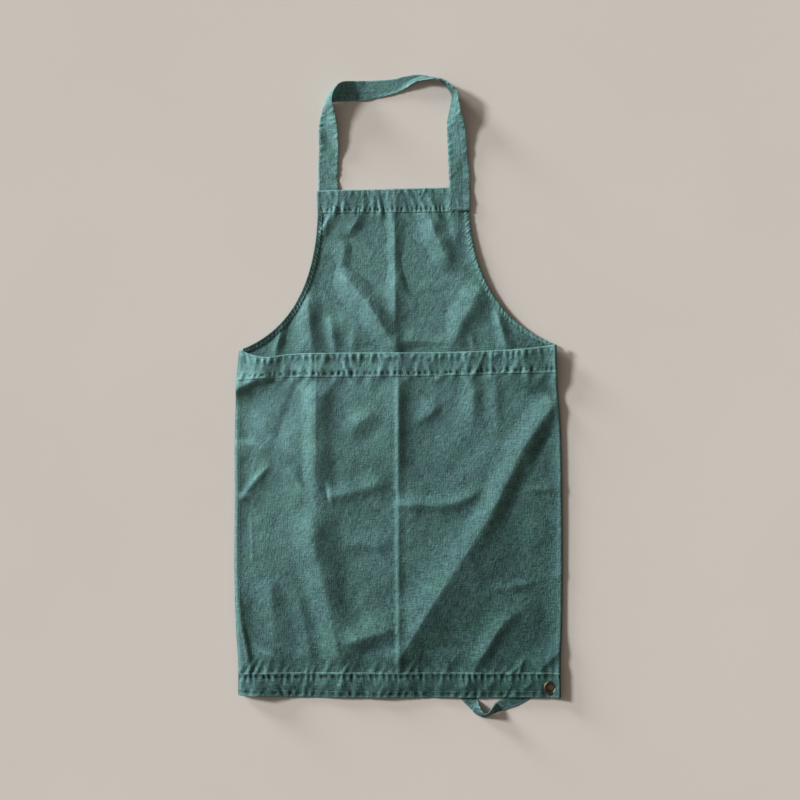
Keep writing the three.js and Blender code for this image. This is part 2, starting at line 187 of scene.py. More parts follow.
@dataclass(frozen=True)
class Fold:
    """A ridge that stands in the cloth along a bent line, or a groove where its height is negative.

    Its flanks reach as far as lit towards the light and lee away from it. A low crisp makes it sharp, and
    it dies away over the shares start and end of its line.
    """

    line: Line
    height: float
    lit: float
    lee: float
    crisp: float = 1.6
    start: float = 0.4
    end: float = 0.4
    between: int = 8

    def rise(self, x: Array, y: Array) -> Array:
        """Height of the fold: height · (1 - r^crisp)², r the distance to its line over the flank's reach.

        Args:
            x: Places across the apron.
            y: Places up the apron.

        Returns:
            The fold's height at each place.
        """
        knots = np.asarray(self.line, dtype=float)
        number = np.arange(len(knots), dtype=float)
        at = np.linspace(0.0, number[-1], self.between * (len(knots) - 1) + 1)
        points = np.stack([read_curve(number, knots[:, k], at) for k in (0, 1)], axis=-1)
        steps = np.diff(points, axis=0)
        lengths = np.linalg.norm(steps, axis=1)
        travelled = distance_along(points)
        chord = points[-1] - points[0]
        light_side = np.array([-chord[1], chord[0]])
        if light_side @ TOWARDS_LIGHT < 0.0:
            light_side = -light_side
        nearest = np.full(x.shape, np.inf)
        lit = np.zeros(x.shape, dtype=bool)
        share = np.zeros(x.shape)
        for point, step, length, before in zip(points, steps, lengths, travelled):
            along = step / length
            side = np.array([-along[1], along[0]])
            if side @ light_side < 0.0:
                side = -side
            dx, dy = x - point[0], y - point[1]
            run = np.clip(dx * along[0] + dy * along[1], 0.0, length)
            off_x, off_y = dx - run * along[0], dy - run * along[1]
            distance = np.hypot(off_x, off_y)
            closer = distance < nearest
            nearest = np.where(closer, distance, nearest)
            lit = np.where(closer, off_x * side[0] + off_y * side[1] > 0.0, lit)
            share = np.where(closer, (before + run) / travelled[-1], share)
        reach = np.where(lit, self.lit, self.lee)
        flank = (1.0 - np.clip(nearest / reach, 0.0, 1.0) ** self.crisp) ** 2
        ways = ((share, self.start), (1.0 - share, self.end))
        ends = [ease(way, 0.0, length) for way, length in ways if length]
        return self.height * flank * np.prod([np.ones_like(share), *ends], axis=0)


@dataclass(frozen=True)
class Puckers:
    """Small ridges that a seam's thread draws up across itself, each with its own size and lean.

    They stand from first to last along the seam, about a pitch apart, and reach above and below it.
    """

    first: float
    last: float
    pitch: float
    height: float
    above: float
    below: float
    seed: int
    offset: float = 0.0
    lean: float = 0.2
    unevenness: float = 0.25
    least: float = 0.05
    most: float = 1.25
    jitter: float = 0.22
    widths: tuple[float, float] = (0.22, 0.42)
    reaches: tuple[float, float] = (0.55, 1.5)
    fade: float = 1.5

    def rise(self, along: Array, away: Array) -> Array:
        """Sum of ridges h · exp(-(s / w)²) · exp(-(d / reach)^fade), s along the seam and d away from it.

        The ridges' own line runs at the offset from the seam, and they lean over it.

        Args:
            along: Places along the seam.
            away: Distances from it, positive above it.

        Returns:
            The puckers' height at each place.
        """
        away = away - self.offset
        random = np.random.default_rng(self.seed)
        count = int((self.last - self.first) / self.pitch) + 1
        places = np.arange(count) + random.uniform(-self.jitter, self.jitter, count)
        centres = self.first + self.pitch * places
        heights = self.height * random.uniform(self.least, self.most, count)
        widths = self.pitch * random.uniform(*self.widths, count)
        leans = self.lean + random.normal(0.0, self.unevenness, count)
        reaches = random.uniform(*self.reaches, count)
        reach = np.where(away > 0.0, self.above, self.below)
        total = np.zeros(np.broadcast(along, away).shape)
        for centre, height, width, lean, scale in zip(centres, heights, widths, leans, reaches):
            ridge = np.exp(-(((along - centre - lean * away) / width) ** 2))
            total += height * ridge * np.exp(-((np.abs(away) / (reach * scale)) ** self.fade))
        return total


@dataclass(frozen=True)
class Rumple:
    """Soft unevenness: random heights at the crossings of a coarse grid, joined by a smooth surface."""

    pitch: float
    height: float
    seed: int
    crossings: int = 64

    def rise(self, x: Array, y: Array) -> Array:
        """Cubic B-spline over the grid's random heights, which repeat after the last crossing.

        Args:
            x: Places across the cloth.
            y: Places along it.

        Returns:
            The unevenness at each place.
        """
        heights = np.random.default_rng(self.seed).standard_normal((self.crossings, self.crossings))
        column, row = np.floor(x / self.pitch).astype(int), np.floor(y / self.pitch).astype(int)
        across, up = self._weights(x / self.pitch - column), self._weights(y / self.pitch - row)
        total = np.zeros(x.shape)
        for i, column_weight in enumerate(across):
            columns = (column + i) % self.crossings
            for j, row_weight in enumerate(up):
                total += column_weight * row_weight * heights[(row + j) % self.crossings, columns]
        return self.height * total

    @staticmethod
    def _weights(t: Array) -> list[Array]:
        """Shares of the four nearest crossings, by the cubic B-spline's four pieces.

        Args:
            t: Share of the way between the middle two crossings.

        Returns:
            The four shares at each place.
        """
        back = 1.0 - t
        first, last = back**3 / 6.0, t**3 / 6.0
        second = (3.0 * t**3 - 6.0 * t**2 + 4.0) / 6.0
        return [first, second, 1.0 - first - second - last, last]


# Meshes


def put_mesh(name: str, points: Array, quads: Array, uv: Array, relief: Array) -> bpy.types.Object:
    """Puts a closed surface into a new smooth-shaded mesh object, with its faces turned outwards.

    Args:
        name: The object's name.
        points: Vertices in millimetres, one row each.
        quads: Four vertex numbers to a face.
        uv: Place on the flat cloth of each vertex, in metres.
        relief: How far each vertex stands on a ridge (above 0) or in a groove (below 0).

    Returns:
        The object, linked to the scene.
    """
    a, b, c, d = (points[quads[:, k]] for k in range(4))
    volume = np.einsum("ij,ij->", a, np.cross(b, c)) + np.einsum("ij,ij->", a, np.cross(c, d))
    if volume < 0.0:
        quads = quads[:, ::-1]
    mesh = bpy.data.meshes.new(name)
    mesh.vertices.add(len(points))
    mesh.vertices.foreach_set("co", (points * MM).astype(np.float32).ravel())
    mesh.loops.add(quads.size)
    mesh.loops.foreach_set("vertex_index", quads.astype(np.int32).ravel())
    mesh.polygons.add(len(quads))
    mesh.polygons.foreach_set("loop_start", np.arange(0, quads.size, 4, dtype=np.int32))
    mesh.polygons.foreach_set("use_smooth", np.ones(len(quads), dtype=bool))
    mesh.update(calc_edges=True)
    layer = mesh.uv_layers.new(name=UV_NAME)
    layer.data.foreach_set("uv", uv[quads.ravel()].astype(np.float32).ravel())
    attribute = mesh.attributes.new(RELIEF_NAME, "FLOAT", "POINT")
    attribute.data.foreach_set("value", relief.astype(np.float32))
    piece = bpy.data.objects.new(name, mesh)
    bpy.context.scene.collection.objects.link(piece)
    return piece


@dataclass
class Sheet:
    """A cloth as a grid of points on its middle, which gets a thickness and is closed round its edges."""

    middle: Array
    uv: Array
    thick: float = CLOTH
    full: Union[float, Array] = 1.0
    keep: Union[Array, None] = None
    bend: float = 6.0
    rubbed_and_highlit: Union[float, Array] = 0.0

    def normals(self) -> Array:
        """Unit normals of the grid: the cross product of its steps along columns and rows."""
        normal = np.cross(np.gradient(self.middle, axis=1), np.gradient(self.middle, axis=0))
        return normal / np.linalg.norm(normal, axis=-1, keepdims=True)

    def relief(self) -> Array:
        """Bend of the surface towards its back, summed over both grid directions, plus paler edges from
        rubbing and a painted highlight.

        Returns:
            The bend at each point, where 1 is a radius of as many millimetres as bend says or less.
        """
        normal = self.normals()
        total = np.zeros(self.middle.shape[:2])
        for axis in (0, 1):
            step = np.gradient(self.middle, axis=axis)
            turn = np.gradient(step, axis=axis)
            total -= np.sum(turn * normal, axis=-1) / np.maximum(np.sum(step * step, axis=-1), TINY)
        return np.clip(total * self.bend, -1.0, 1.0) + self.rubbed_and_highlit

    def build(self, name: str) -> bpy.types.Object:
        """Makes the closed wall: the grid half a thickness out to each side, and a rim at its open edges.

        Args:
            name: The object's name.

        Returns:
            The object.
        """
        rows, columns = self.middle.shape[:2]
        thick = self.thick * np.broadcast_to(self.full, (rows, columns))
        half = 0.5 * thick[..., None] * self.normals()
        points = np.concatenate([self.middle + half, self.middle - half]).reshape(-1, 3)
        number = np.arange(rows * columns).reshape(rows, columns)
        cells = np.stack([number[:-1, :-1], number[:-1, 1:], number[1:, 1:], number[1:, :-1]], axis=-1)
        keep = np.ones(cells.shape[:2], dtype=bool) if self.keep is None else self.keep
        padded = np.pad(keep, 1)
        beyond = (padded[:-2, 1:-1], padded[1:-1, 2:], padded[2:, 1:-1], padded[1:-1, :-2])
        front = cells[keep]
        walls = [front, front[:, ::-1] + rows * columns]
        for side, neighbour in enumerate(beyond):
            edge = cells[keep & ~neighbour][:, [side, (side + 1) % 4]]
            walls.append(np.stack([edge[:, 1], edge[:, 0], edge[:, 0], edge[:, 1]], axis=-1))
            walls[-1][:, 2:] += rows * columns
        used, quads = np.unique(np.concatenate(walls), return_inverse=True)
        uv = np.tile(self.uv.reshape(-1, 2), (2, 1))
        relief = np.tile(self.relief().ravel(), 2)
        return put_mesh(name, points[used], quads.reshape(-1, 4), uv[used], relief[used])


def grid_quads(rows: int, columns: int) -> Array:
    """Quads of a grid that is closed both ways round, as a ring is.

    Args:
        rows: How many rows of points it has.
        columns: How many points a row has.

    Returns:
        Four vertex numbers to a face.
    """
    number = np.arange(rows * columns).reshape(rows, columns)
    right, up = np.roll(number, -1, axis=1), np.roll(number, -1, axis=0)
    return np.stack([number, right, np.roll(right, -1, axis=0), up], axis=-1).reshape(-1, 4)


@dataclass(frozen=True)
class Stitching:
    """Rows of sewing thread: each stitch is a small bead that dips into the cloth at both ends."""

    length: float = 3.1
    gap: float = 1.0
    thick: float = 0.62
    sides: int = 6
    sink: float = 0.28
    proud: float = 0.2
    shoulder: float = 0.22
    taper: float = 0.5

    @staticmethod
    def upright(lines: Sequence[Array]) -> list[StitchRow]:
        """Rows of stitches on cloth that lies flat, with normals straight up."""
        return [(line, np.broadcast_to(UPRIGHT, line.shape)) for line in lines]

    def row(self, line: Array, normal: Array) -> tuple[Array, Array]:
        """Stitches along a line: four rings of points to each, at even places along the line's length.

        Args:
            line: Points of the line on the cloth's surface.
            normal: The cloth's normal at each of them.

        Returns:
            The points, shaped stitch by ring by side by 3, and each ring's distance along the line.
        """
        travelled = distance_along(line)
        pitch = self.length + self.gap
        starts = pitch * np.arange(int(travelled[-1] / pitch)) + self.gap / 2.0
        at = starts[:, None] + self.length * np.array([0.0, self.shoulder, 1.0 - self.shoulder, 1.0])
        radius = 0.5 * self.thick * np.array([self.taper, 1.0, 1.0, self.taper])
        lift = self.thick * np.array([-self.sink, self.proud, self.proud, -self.sink])
        centre, up, along = (
            np.stack([np.interp(at, travelled, values[:, k]) for k in range(3)], axis=-1)
            for values in (line, normal, np.gradient(line, axis=0))
        )
        along /= np.linalg.norm(along, axis=-1, keepdims=True)
        side = np.cross(along, up)
        side /= np.linalg.norm(side, axis=-1, keepdims=True)
        up = np.cross(side, along)
        turn = np.linspace(0.0, 2.0 * math.pi, self.sides, endpoint=False)
        ring = np.cos(turn)[:, None] * side[:, :, None] + np.sin(turn)[:, None] * up[:, :, None]
        points = (centre + lift[:, None] * up)[:, :, None] + radius[:, None, None] * ring
        return points, at

    def build(self, name: str, rows: Sequence[StitchRow]) -> bpy.types.Object:
        """Joins the stitches of several lines into one object.

        Args:
            name: The object's name.
            rows: The line and normals of each row of stitches.

        Returns:
            The object.
        """
        beads = [self.row(line, normal) for line, normal in rows]
        points = np.concatenate([bead[0] for bead in beads])
        count, rings = points.shape[:2]
        number = np.arange(rings * self.sides).reshape(rings, self.sides)
        following = np.roll(number, -1, axis=1)
        skin = np.stack([number[:-1], following[:-1], following[1:], number[1:]], axis=-1)
        # Two quads close a six-sided end
        caps = np.array([[0, 5, 4, 3], [0, 3, 2, 1]])
        last = (rings - 1) * self.sides
        bead_quads = np.concatenate([skin.reshape(-1, 4), caps, caps[:, ::-1] + last])
        first = rings * self.sides * np.arange(count)
        quads = (bead_quads + first[:, None, None]).reshape(-1, 4)
        along = np.concatenate([bead[1] for bead in beads])
        around = np.arange(self.sides) * self.thick
        uv = np.stack(np.broadcast_arrays(along[:, :, None], around), axis=-1)
        flat = points.reshape(-1, 3)
        return put_mesh(name, flat, quads, uv.reshape(-1, 2) * MM, np.zeros(len(flat)))


# Shader maths


class Value:
    """A socket of a node tree whose arithmetic adds Math nodes."""

    def __init__(self, nodes: "Nodes", socket: bpy.types.NodeSocket) -> None:
        """Keeps the tree and the socket that gives the value."""
        self.nodes = nodes
        self.socket = socket

    def _math(self, operation: str, first: "Number", second: "Number") -> "Value":
        """Adds one Math node on two values."""
        return self.nodes.add("ShaderNodeMath", {"operation": operation}, {0: first, 1: second})

    def __add__(self, other: "Number") -> "Value":
        """Sum."""
        return self._math("ADD", self, other)

    def __radd__(self, other: "Number") -> "Value":
        """Sum, with a number first."""
        return self._math("ADD", other, self)

    def __sub__(self, other: "Number") -> "Value":
        """Difference."""
        return self._math("SUBTRACT", self, other)

    def __rsub__(self, other: "Number") -> "Value":
        """Difference, with a number first."""
        return self._math("SUBTRACT", other, self)

    def __mul__(self, other: "Number") -> "Value":
        """Product."""
        return self._math("MULTIPLY", self, other)

    def __rmul__(self, other: "Number") -> "Value":
        """Product, with a number first."""
        return self._math("MULTIPLY", other, self)

    def sine(self) -> "Value":
        """Sine of the value in radians."""
        return self._math("SINE", self, 0.0)

    def at_least(self, other: "Number") -> "Value":
        """The larger of the value and another."""
        return self._math("MAXIMUM", self, other)

    def at_most(self, other: "Number") -> "Value":
        """The smaller of the value and another."""
        return self._math("MINIMUM", self, other)

    def within(self) -> "Value":
        """The value held between 0 and 1."""
        return self.at_least(0.0).at_most(1.0)

    def step(self, low: float, high: float) -> "Value":
        """Goes smoothly from 0 at low to 1 at high."""
        sockets = {"Value": self, "From Min": low, "From Max": high}
        return self.nodes.add("ShaderNodeMapRange", {"interpolation_type": "SMOOTHSTEP"}, sockets)


Number = Union[Value, float]


class Nodes:
    """A material's node tree, filled by calls that each add one node."""

    def __init__(self, name: str) -> None:
        """Starts an empty material.

        Args:
            name: The material's name.
        """
        self.material = bpy.data.materials.new(name)
        self.material.use_nodes = True
        self.tree = self.material.node_tree
        self.tree.nodes.clear()

    def node(self, kind: str, settings: dict, sockets: dict) -> bpy.types.Node:
        """Adds a node, sets it up and links it.

        Args:
            kind: The node's type.
            settings: The node's own properties, set first.
            sockets: The value or link of each input, by its name or number.

        Returns:
            The node.
        """
        node = self.tree.nodes.new(kind)
        for key, setting in settings.items():
            setattr(node, key, setting)
        for key, given in sockets.items():
            if isinstance(given, Value):
                self.tree.links.new(given.socket, node.inputs[key])
            else:
                node.inputs[key].default_value = given
        return node

    def add(self, kind: str, settings: dict, sockets: dict, output: Union[int, str] = 0) -> Value:
        """Adds a node and gives one of its outputs as a value."""
        return Value(self, self.node(kind, settings, sockets).outputs[output])

    def blend(self, share: Number, first: Union[Value, Colour], second: Union[Value, Colour]) -> Value:
        """Goes from one colour to another by a share."""
        ends = [end if isinstance(end, Value) else (*end, 1.0) for end in (first, second)]
        return self.add("ShaderNodeMix", {"data_type": "RGBA"}, {0: share, 6: ends[0], 7: ends[1]}, 2)

    def noise(
        self, place: Value, scale: float, detail: float, rough: float = 0.55, swirl: float = 0.0
    ) -> Value:
        """Cloudy noise at a place, about 0.5 all over."""
        grain = {"Scale": scale, "Detail": detail, "Roughness": rough, "Distortion": swirl}
        return self.add("ShaderNodeTexNoise", {}, {"Vector": place, **grain})

    def cloth_place(self) -> tuple[Value, Value]:
        """Places across and along the flat cloth, in metres, from the piece's own map."""
        flat = self.add("ShaderNodeUVMap", {"uv_map": UV_NAME}, {})
        return self.axis(flat, 0), self.axis(flat, 1)

    def point(self, x: Number, y: Number) -> Value:
        """A point of two coordinates."""
        return self.add("ShaderNodeCombineXYZ", {}, {0: x, 1: y})

    def axis(self, place: Value, number: int) -> Value:
        """One coordinate of a place."""
        return self.add("ShaderNodeSeparateXYZ", {}, {0: place}, number)

    def object_place(self) -> Value:
        """Place in the apron's own frame, in metres."""
        return self.add("ShaderNodeTexCoord", {}, {}, "Object")

    def relief(self) -> Value:
        """How far a spot stands on a ridge or in a groove."""
        return self.add("ShaderNodeAttribute", {"attribute_name": RELIEF_NAME}, {}, "Fac")

    def finish(self, shader: dict, height: Value) -> bpy.types.Material:
        """Closes the tree with a bumped shader.

        Args:
            shader: Values and links of the shader's sockets.
            height: Height of the bump in millimetres.

        Returns:
            The material.
        """
        bump = self.add("ShaderNodeBump", {}, {"Strength": 1.0, "Distance": MM, "Height": height})
        surface = self.add("ShaderNodeBsdfPrincipled", {}, {**shader, "Normal": bump})
        self.node("ShaderNodeOutputMaterial", {}, {"Surface": surface})
        return self.material


# Finishes


@dataclass(frozen=True)
class DyedCotton:
    """Plain-woven cotton with slubby yarns, dyed unevenly after sewing. Its colour holds painted light and
    shade: paler upwards and to the left, darker below the waist, darker in grooves and in the creases of
    its crinkles, and paler on ridges and edges from rubbing and a painted highlight.
    """

    name: str
    green: Colour = (0.080, 0.190, 0.173)
    blue: Colour = (0.081, 0.184, 0.183)
    deep: float = 0.3
    pale: float = 1.7
    tone: float = 0.482
    # Painted light and shade over the apron, per metre: paler upwards, darker below the waist and paler to
    # the left
    painted_light_up: float = 0.1
    painted_shade_low: float = 0.58
    painted_light_left: float = 0.5
    # Relief in the colour: ridges paler from rubbing and a painted highlight, grooves darker with painted
    # shade
    ridge_rub_and_groove_shade: float = 0.22
    yarn: float = 0.0009
    slub_width: float = 0.0017
    slub_length: float = 0.014
    crinkle_width: float = 0.0019
    crinkle_length: float = 0.0105
    crinkle_lean: float = 57.0
    roughness: float = 0.88
    # Scales of the noises, to the metre, and the directions of the drape on the cloth
    grain_scale: float = 420.0
    dye_scale: float = 21.0
    mottle_scale: float = 60.0
    patch_scale: float = 9.0
    drape_across: tuple[float, float] = (130.0, 95.0)
    drape_along: tuple[float, float] = (32.0, 45.0)
    # How much of the shade each pattern makes; the crinkles' share is painted shade in their creases and
    # painted light on their crests
    slub_shade: float = 0.7
    grain_shade: float = 0.52
    mottle_shade: float = 0.2
    crinkle_painted_shade: float = 0.25
    weave_shade: float = 0.1
    # How high each pattern stands, in millimetres
    drape_height: float = 1.2
    crinkle_height: float = 0.55
    slub_height: float = 0.45
    grain_height: float = 0.2
    weave_height: float = 0.06
    # Powers by which red and blue follow the lightness
    red_power: float = 1.25
    blue_power: float = 1.04

    def material(self) -> bpy.types.Material:
        """Builds the cloth: slubs, mottled dye and painted light and shade for its colour, yarns and
        crinkles for its bump.

        Returns:
            The material.
        """
        nodes = Nodes(self.name)
        u, v = nodes.cloth_place()
        place = nodes.object_place()
        thin, long = 1.0 / self.slub_width, 1.0 / self.slub_length
        warp = nodes.noise(nodes.point(u * thin, v * long), 1.0, 1.0)
        weft = nodes.noise(nodes.point(u * long, v * thin), 1.0, 1.0)
        slub = warp + weft - 1.0
        grain = nodes.noise(place, self.grain_scale, 1.0) - 0.5
        dye = nodes.noise(place, self.dye_scale, 3.0)
        mottle = nodes.noise(place, self.mottle_scale, 3.0) - 0.5
        crinkle = self.crinkles(nodes, u, v, place)
        across = u * self.drape_across[0] - v * self.drape_across[1]
        along = u * self.drape_along[0] + v * self.drape_along[1]
        drape = nodes.noise(nodes.point(across, along), 1.0, 2.0, 0.6, 0.7)
        turns = 2.0 * math.pi / self.yarn
        weave = (u * turns).sine() * (v * turns).sine()
        up = nodes.axis(place, 1)
        # Painted light and shade: paler upwards and to the left, darker below the waist, darker in grooves
        # and paler on ridges
        shade = self.tone + up * self.painted_light_up + up.at_most(0.0) * self.painted_shade_low
        shade = shade - nodes.axis(place, 0) * self.painted_light_left + nodes.relief() * self.ridge_rub_and_groove_shade
        shade = shade + slub * self.slub_shade + grain * self.grain_shade + mottle * self.mottle_shade
        # Painted shade in the crinkles' creases and painted light on their crests
        shade = shade + crinkle * self.crinkle_painted_shade + weave * self.weave_shade
        height = drape * self.drape_height + crinkle * self.crinkle_height + slub * self.slub_height
        height = height + grain * self.grain_height + weave * self.weave_height
        hue = dye.step(0.36, 0.64)
        low = nodes.blend(hue, self.dyed(self.green, self.deep), self.dyed(self.blue, self.deep))
        high = nodes.blend(hue, self.dyed(self.green, self.pale), self.dyed(self.blue, self.pale))
        shader = {
            "Base Color": nodes.blend(shade.within(), low, high),
            "Roughness": (self.roughness + slub * 0.1).within(),
            "Specular IOR Level": 0.25,
            "Sheen Weight": 0.1,
            "Sheen Roughness": 0.5,
            "Sheen Tint": (0.55, 0.8, 0.78, 1.0),
        }
        return nodes.finish(shader, height)

    def crinkles(self, nodes: Nodes, u: Value, v: Value, place: Value) -> Value:
        """Fine creases that washing leaves: in patches they lean over, elsewhere they run up the cloth.

        Args:
            nodes: The tree to add to.
            u: Place across the flat cloth.
            v: Place along it.
            place: Place in the apron's frame.

        Returns:
            Height of the creases, about 0 all over.
        """
        lean = math.radians(self.crinkle_lean)
        across = u * math.sin(lean) - v * math.cos(lean)
        along = u * math.cos(lean) + v * math.sin(lean)
        thin, long = 1.0 / self.crinkle_width, 1.0 / self.crinkle_length
        leaning = nodes.noise(nodes.point(across * thin, along * long), 1.0, 1.5, 0.5, 0.6)
        upright = nodes.noise(nodes.point(u * thin, v * long), 1.0, 1.5, 0.5, 0.9)
        patch = nodes.noise(place, self.patch_scale, 1.0).step(0.42, 0.58)
        return upright - 0.5 + (leaning - upright) * patch

    def dyed(self, colour: Colour, share: float) -> Colour:
        """A colour with that share of its lightness, and greyer the paler it is."""
        red, green, blue = colour
        return red * share**self.red_power, green * share, blue * share**self.blue_power


@dataclass(frozen=True)
class SewingThread:
    """Twisted cotton thread, dyed with the cloth and a little paler than it."""

    name: str
    deep: Colour = (0.10, 0.19, 0.18)
    pale: Colour = (0.26, 0.38, 0.36)
    twist: float = 0.0007
    dye_scale: float = 220.0
    ply_shade: float = 0.15
    ply_height: float = 0.06

    def material(self) -> bpy.types.Material:
        """Builds the thread: slanted plies along it, and dye that took unevenly.

        Returns:
            The material.
        """
        nodes = Nodes(self.name)
        along, around = nodes.cloth_place()
        ply = ((along + around) * (2.0 * math.pi / self.twist)).sine()
        dye = nodes.noise(nodes.object_place(), self.dye_scale, 2.0)
        shade = dye.step(0.3, 0.7) + ply * self.ply_shade
        shader = {
            "Base Color": nodes.blend(shade.within(), self.deep, self.pale),
            "Roughness": 0.8 + ply * 0.05,
        }
        return nodes.finish(shader, ply * self.ply_height)


@dataclass(frozen=True)
class AgedBrass:
    """Dark aged brass, rubbed brighter where it stands proud."""

    name: str
    patina: Colour = (0.020, 0.016, 0.011)
    rubbed: Colour = (0.23, 0.185, 0.12)
    cloud_scale: float = 420.0
    speck_scale: float = 1900.0
    # How much the proud parts, the clouds and the specks are rubbed
    crown_rub: float = 0.3
    cloud_rub: float = 0.45
    speck_rub: float = 0.5

    def material(self) -> bpy.types.Material:
        """Builds the metal: patina in clouds over brass, fine specks and a worn crown.

        Returns:
            The material.
        """
        nodes = Nodes(self.name)
        place = nodes.object_place()
        clouds = nodes.noise(place, self.cloud_scale, 4.0, 0.6)
        specks = nodes.noise(place, self.speck_scale, 2.0)
        rubbed = nodes.relief() * self.crown_rub + clouds.step(0.4, 0.75) * self.cloud_rub
        rubbed = (rubbed + (specks - 0.5) * self.speck_rub).within()
        shader = {
            "Base Color": nodes.blend(rubbed, self.patina, self.rubbed),
            "Metallic": 1.0,
            "Roughness": (0.5 - rubbed * 0.2 + (specks - 0.5) * 0.2).within(),
        }
        return nodes.finish(shader, clouds * 0.05 + specks * 0.03)


@dataclass(frozen=True)
class PaleFloor:
    """Smooth warm-grey floor with hardly any grain."""

    name: str
    low: Colour = (0.605, 0.556, 0.508)
    high: Colour = (0.618, 0.569, 0.521)
    cloud_scale: float = 2.5
    tooth_scale: float = 900.0
    tooth_height: float = 0.02

    def material(self) -> bpy.types.Material:
        """Builds the floor: two near greys in slow clouds, and a faint tooth.

        Returns:
            The material.
        """
        nodes = Nodes(self.name)
        place = nodes.object_place()
        clouds = nodes.noise(place, self.cloud_scale, 3.0)
        tooth = nodes.noise(place, self.tooth_scale, 2.0)
        shader = {
            "Base Color": nodes.blend(clouds.step(0.3, 0.7), self.low, self.high),
            "Roughness": 0.85 + tooth * 0.1,
            "Specular IOR Level": 0.1,
        }
        return nodes.finish(shader, tooth * self.tooth_height)


class Finish(Enum):
    """The finishes that the apron's pieces can take, each with its material slot in the record."""

    PANEL = (DyedCotton("dyed_cotton_panel"), "cotton_cloth")
    # The bands, the hem and the tapes take their own tone and their own share of paler ridges (rubbing and
    # painted highlight) and painted shade in grooves
    BAND = (DyedCotton("dyed_cotton_band", tone=0.405, ridge_rub_and_groove_shade=0.34), "cotton_cloth")
    HEM = (DyedCotton("dyed_cotton_hem", tone=0.37, ridge_rub_and_groove_shade=0.36), "cotton_cloth")
    STRAP = (DyedCotton("dyed_cotton_strap", tone=0.46, ridge_rub_and_groove_shade=0.3), "cotton_cloth")
    LOOP = (DyedCotton("dyed_cotton_loop", tone=0.66, ridge_rub_and_groove_shade=0.3), "cotton_cloth")
    THREAD = (SewingThread("sewing_thread"), "cotton_cloth")
    BRASS = (AgedBrass("aged_brass"), "aged_brass")


class Wardrobe:
    """Makes each finish once and dresses pieces in it."""

    def __init__(self) -> None:
        """Starts with no finish made."""
        self.made: dict[Finish, bpy.types.Material] = {}

    def dress(self, piece: bpy.types.Object, finish: Finish, *nodes: str) -> bpy.types.Object:
        """Gives a piece its finish and its place on the apron.

        Args:
            piece: The piece.
            finish: The finish that it takes.
            nodes: The CAD nodes that it stands for.

        Returns:
            The piece.
        """
        look, slot = finish.value
        if finish not in self.made:
            self.made[finish] = look.material()
        piece.data.materials.append(self.made[finish])
        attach(piece, "root")
        if nodes:
            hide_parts(*nodes)
        faces = sum(len(polygon.vertices) - 2 for polygon in piece.data.polygons)
        LOG.info("%s: %d triangles", piece.name, faces)
        return piece


# How the apron lies


class Side(Enum):
    """The two sides of the apron, as seen from above, with the sign of X there."""

    LEFT = -1
    RIGHT = 1


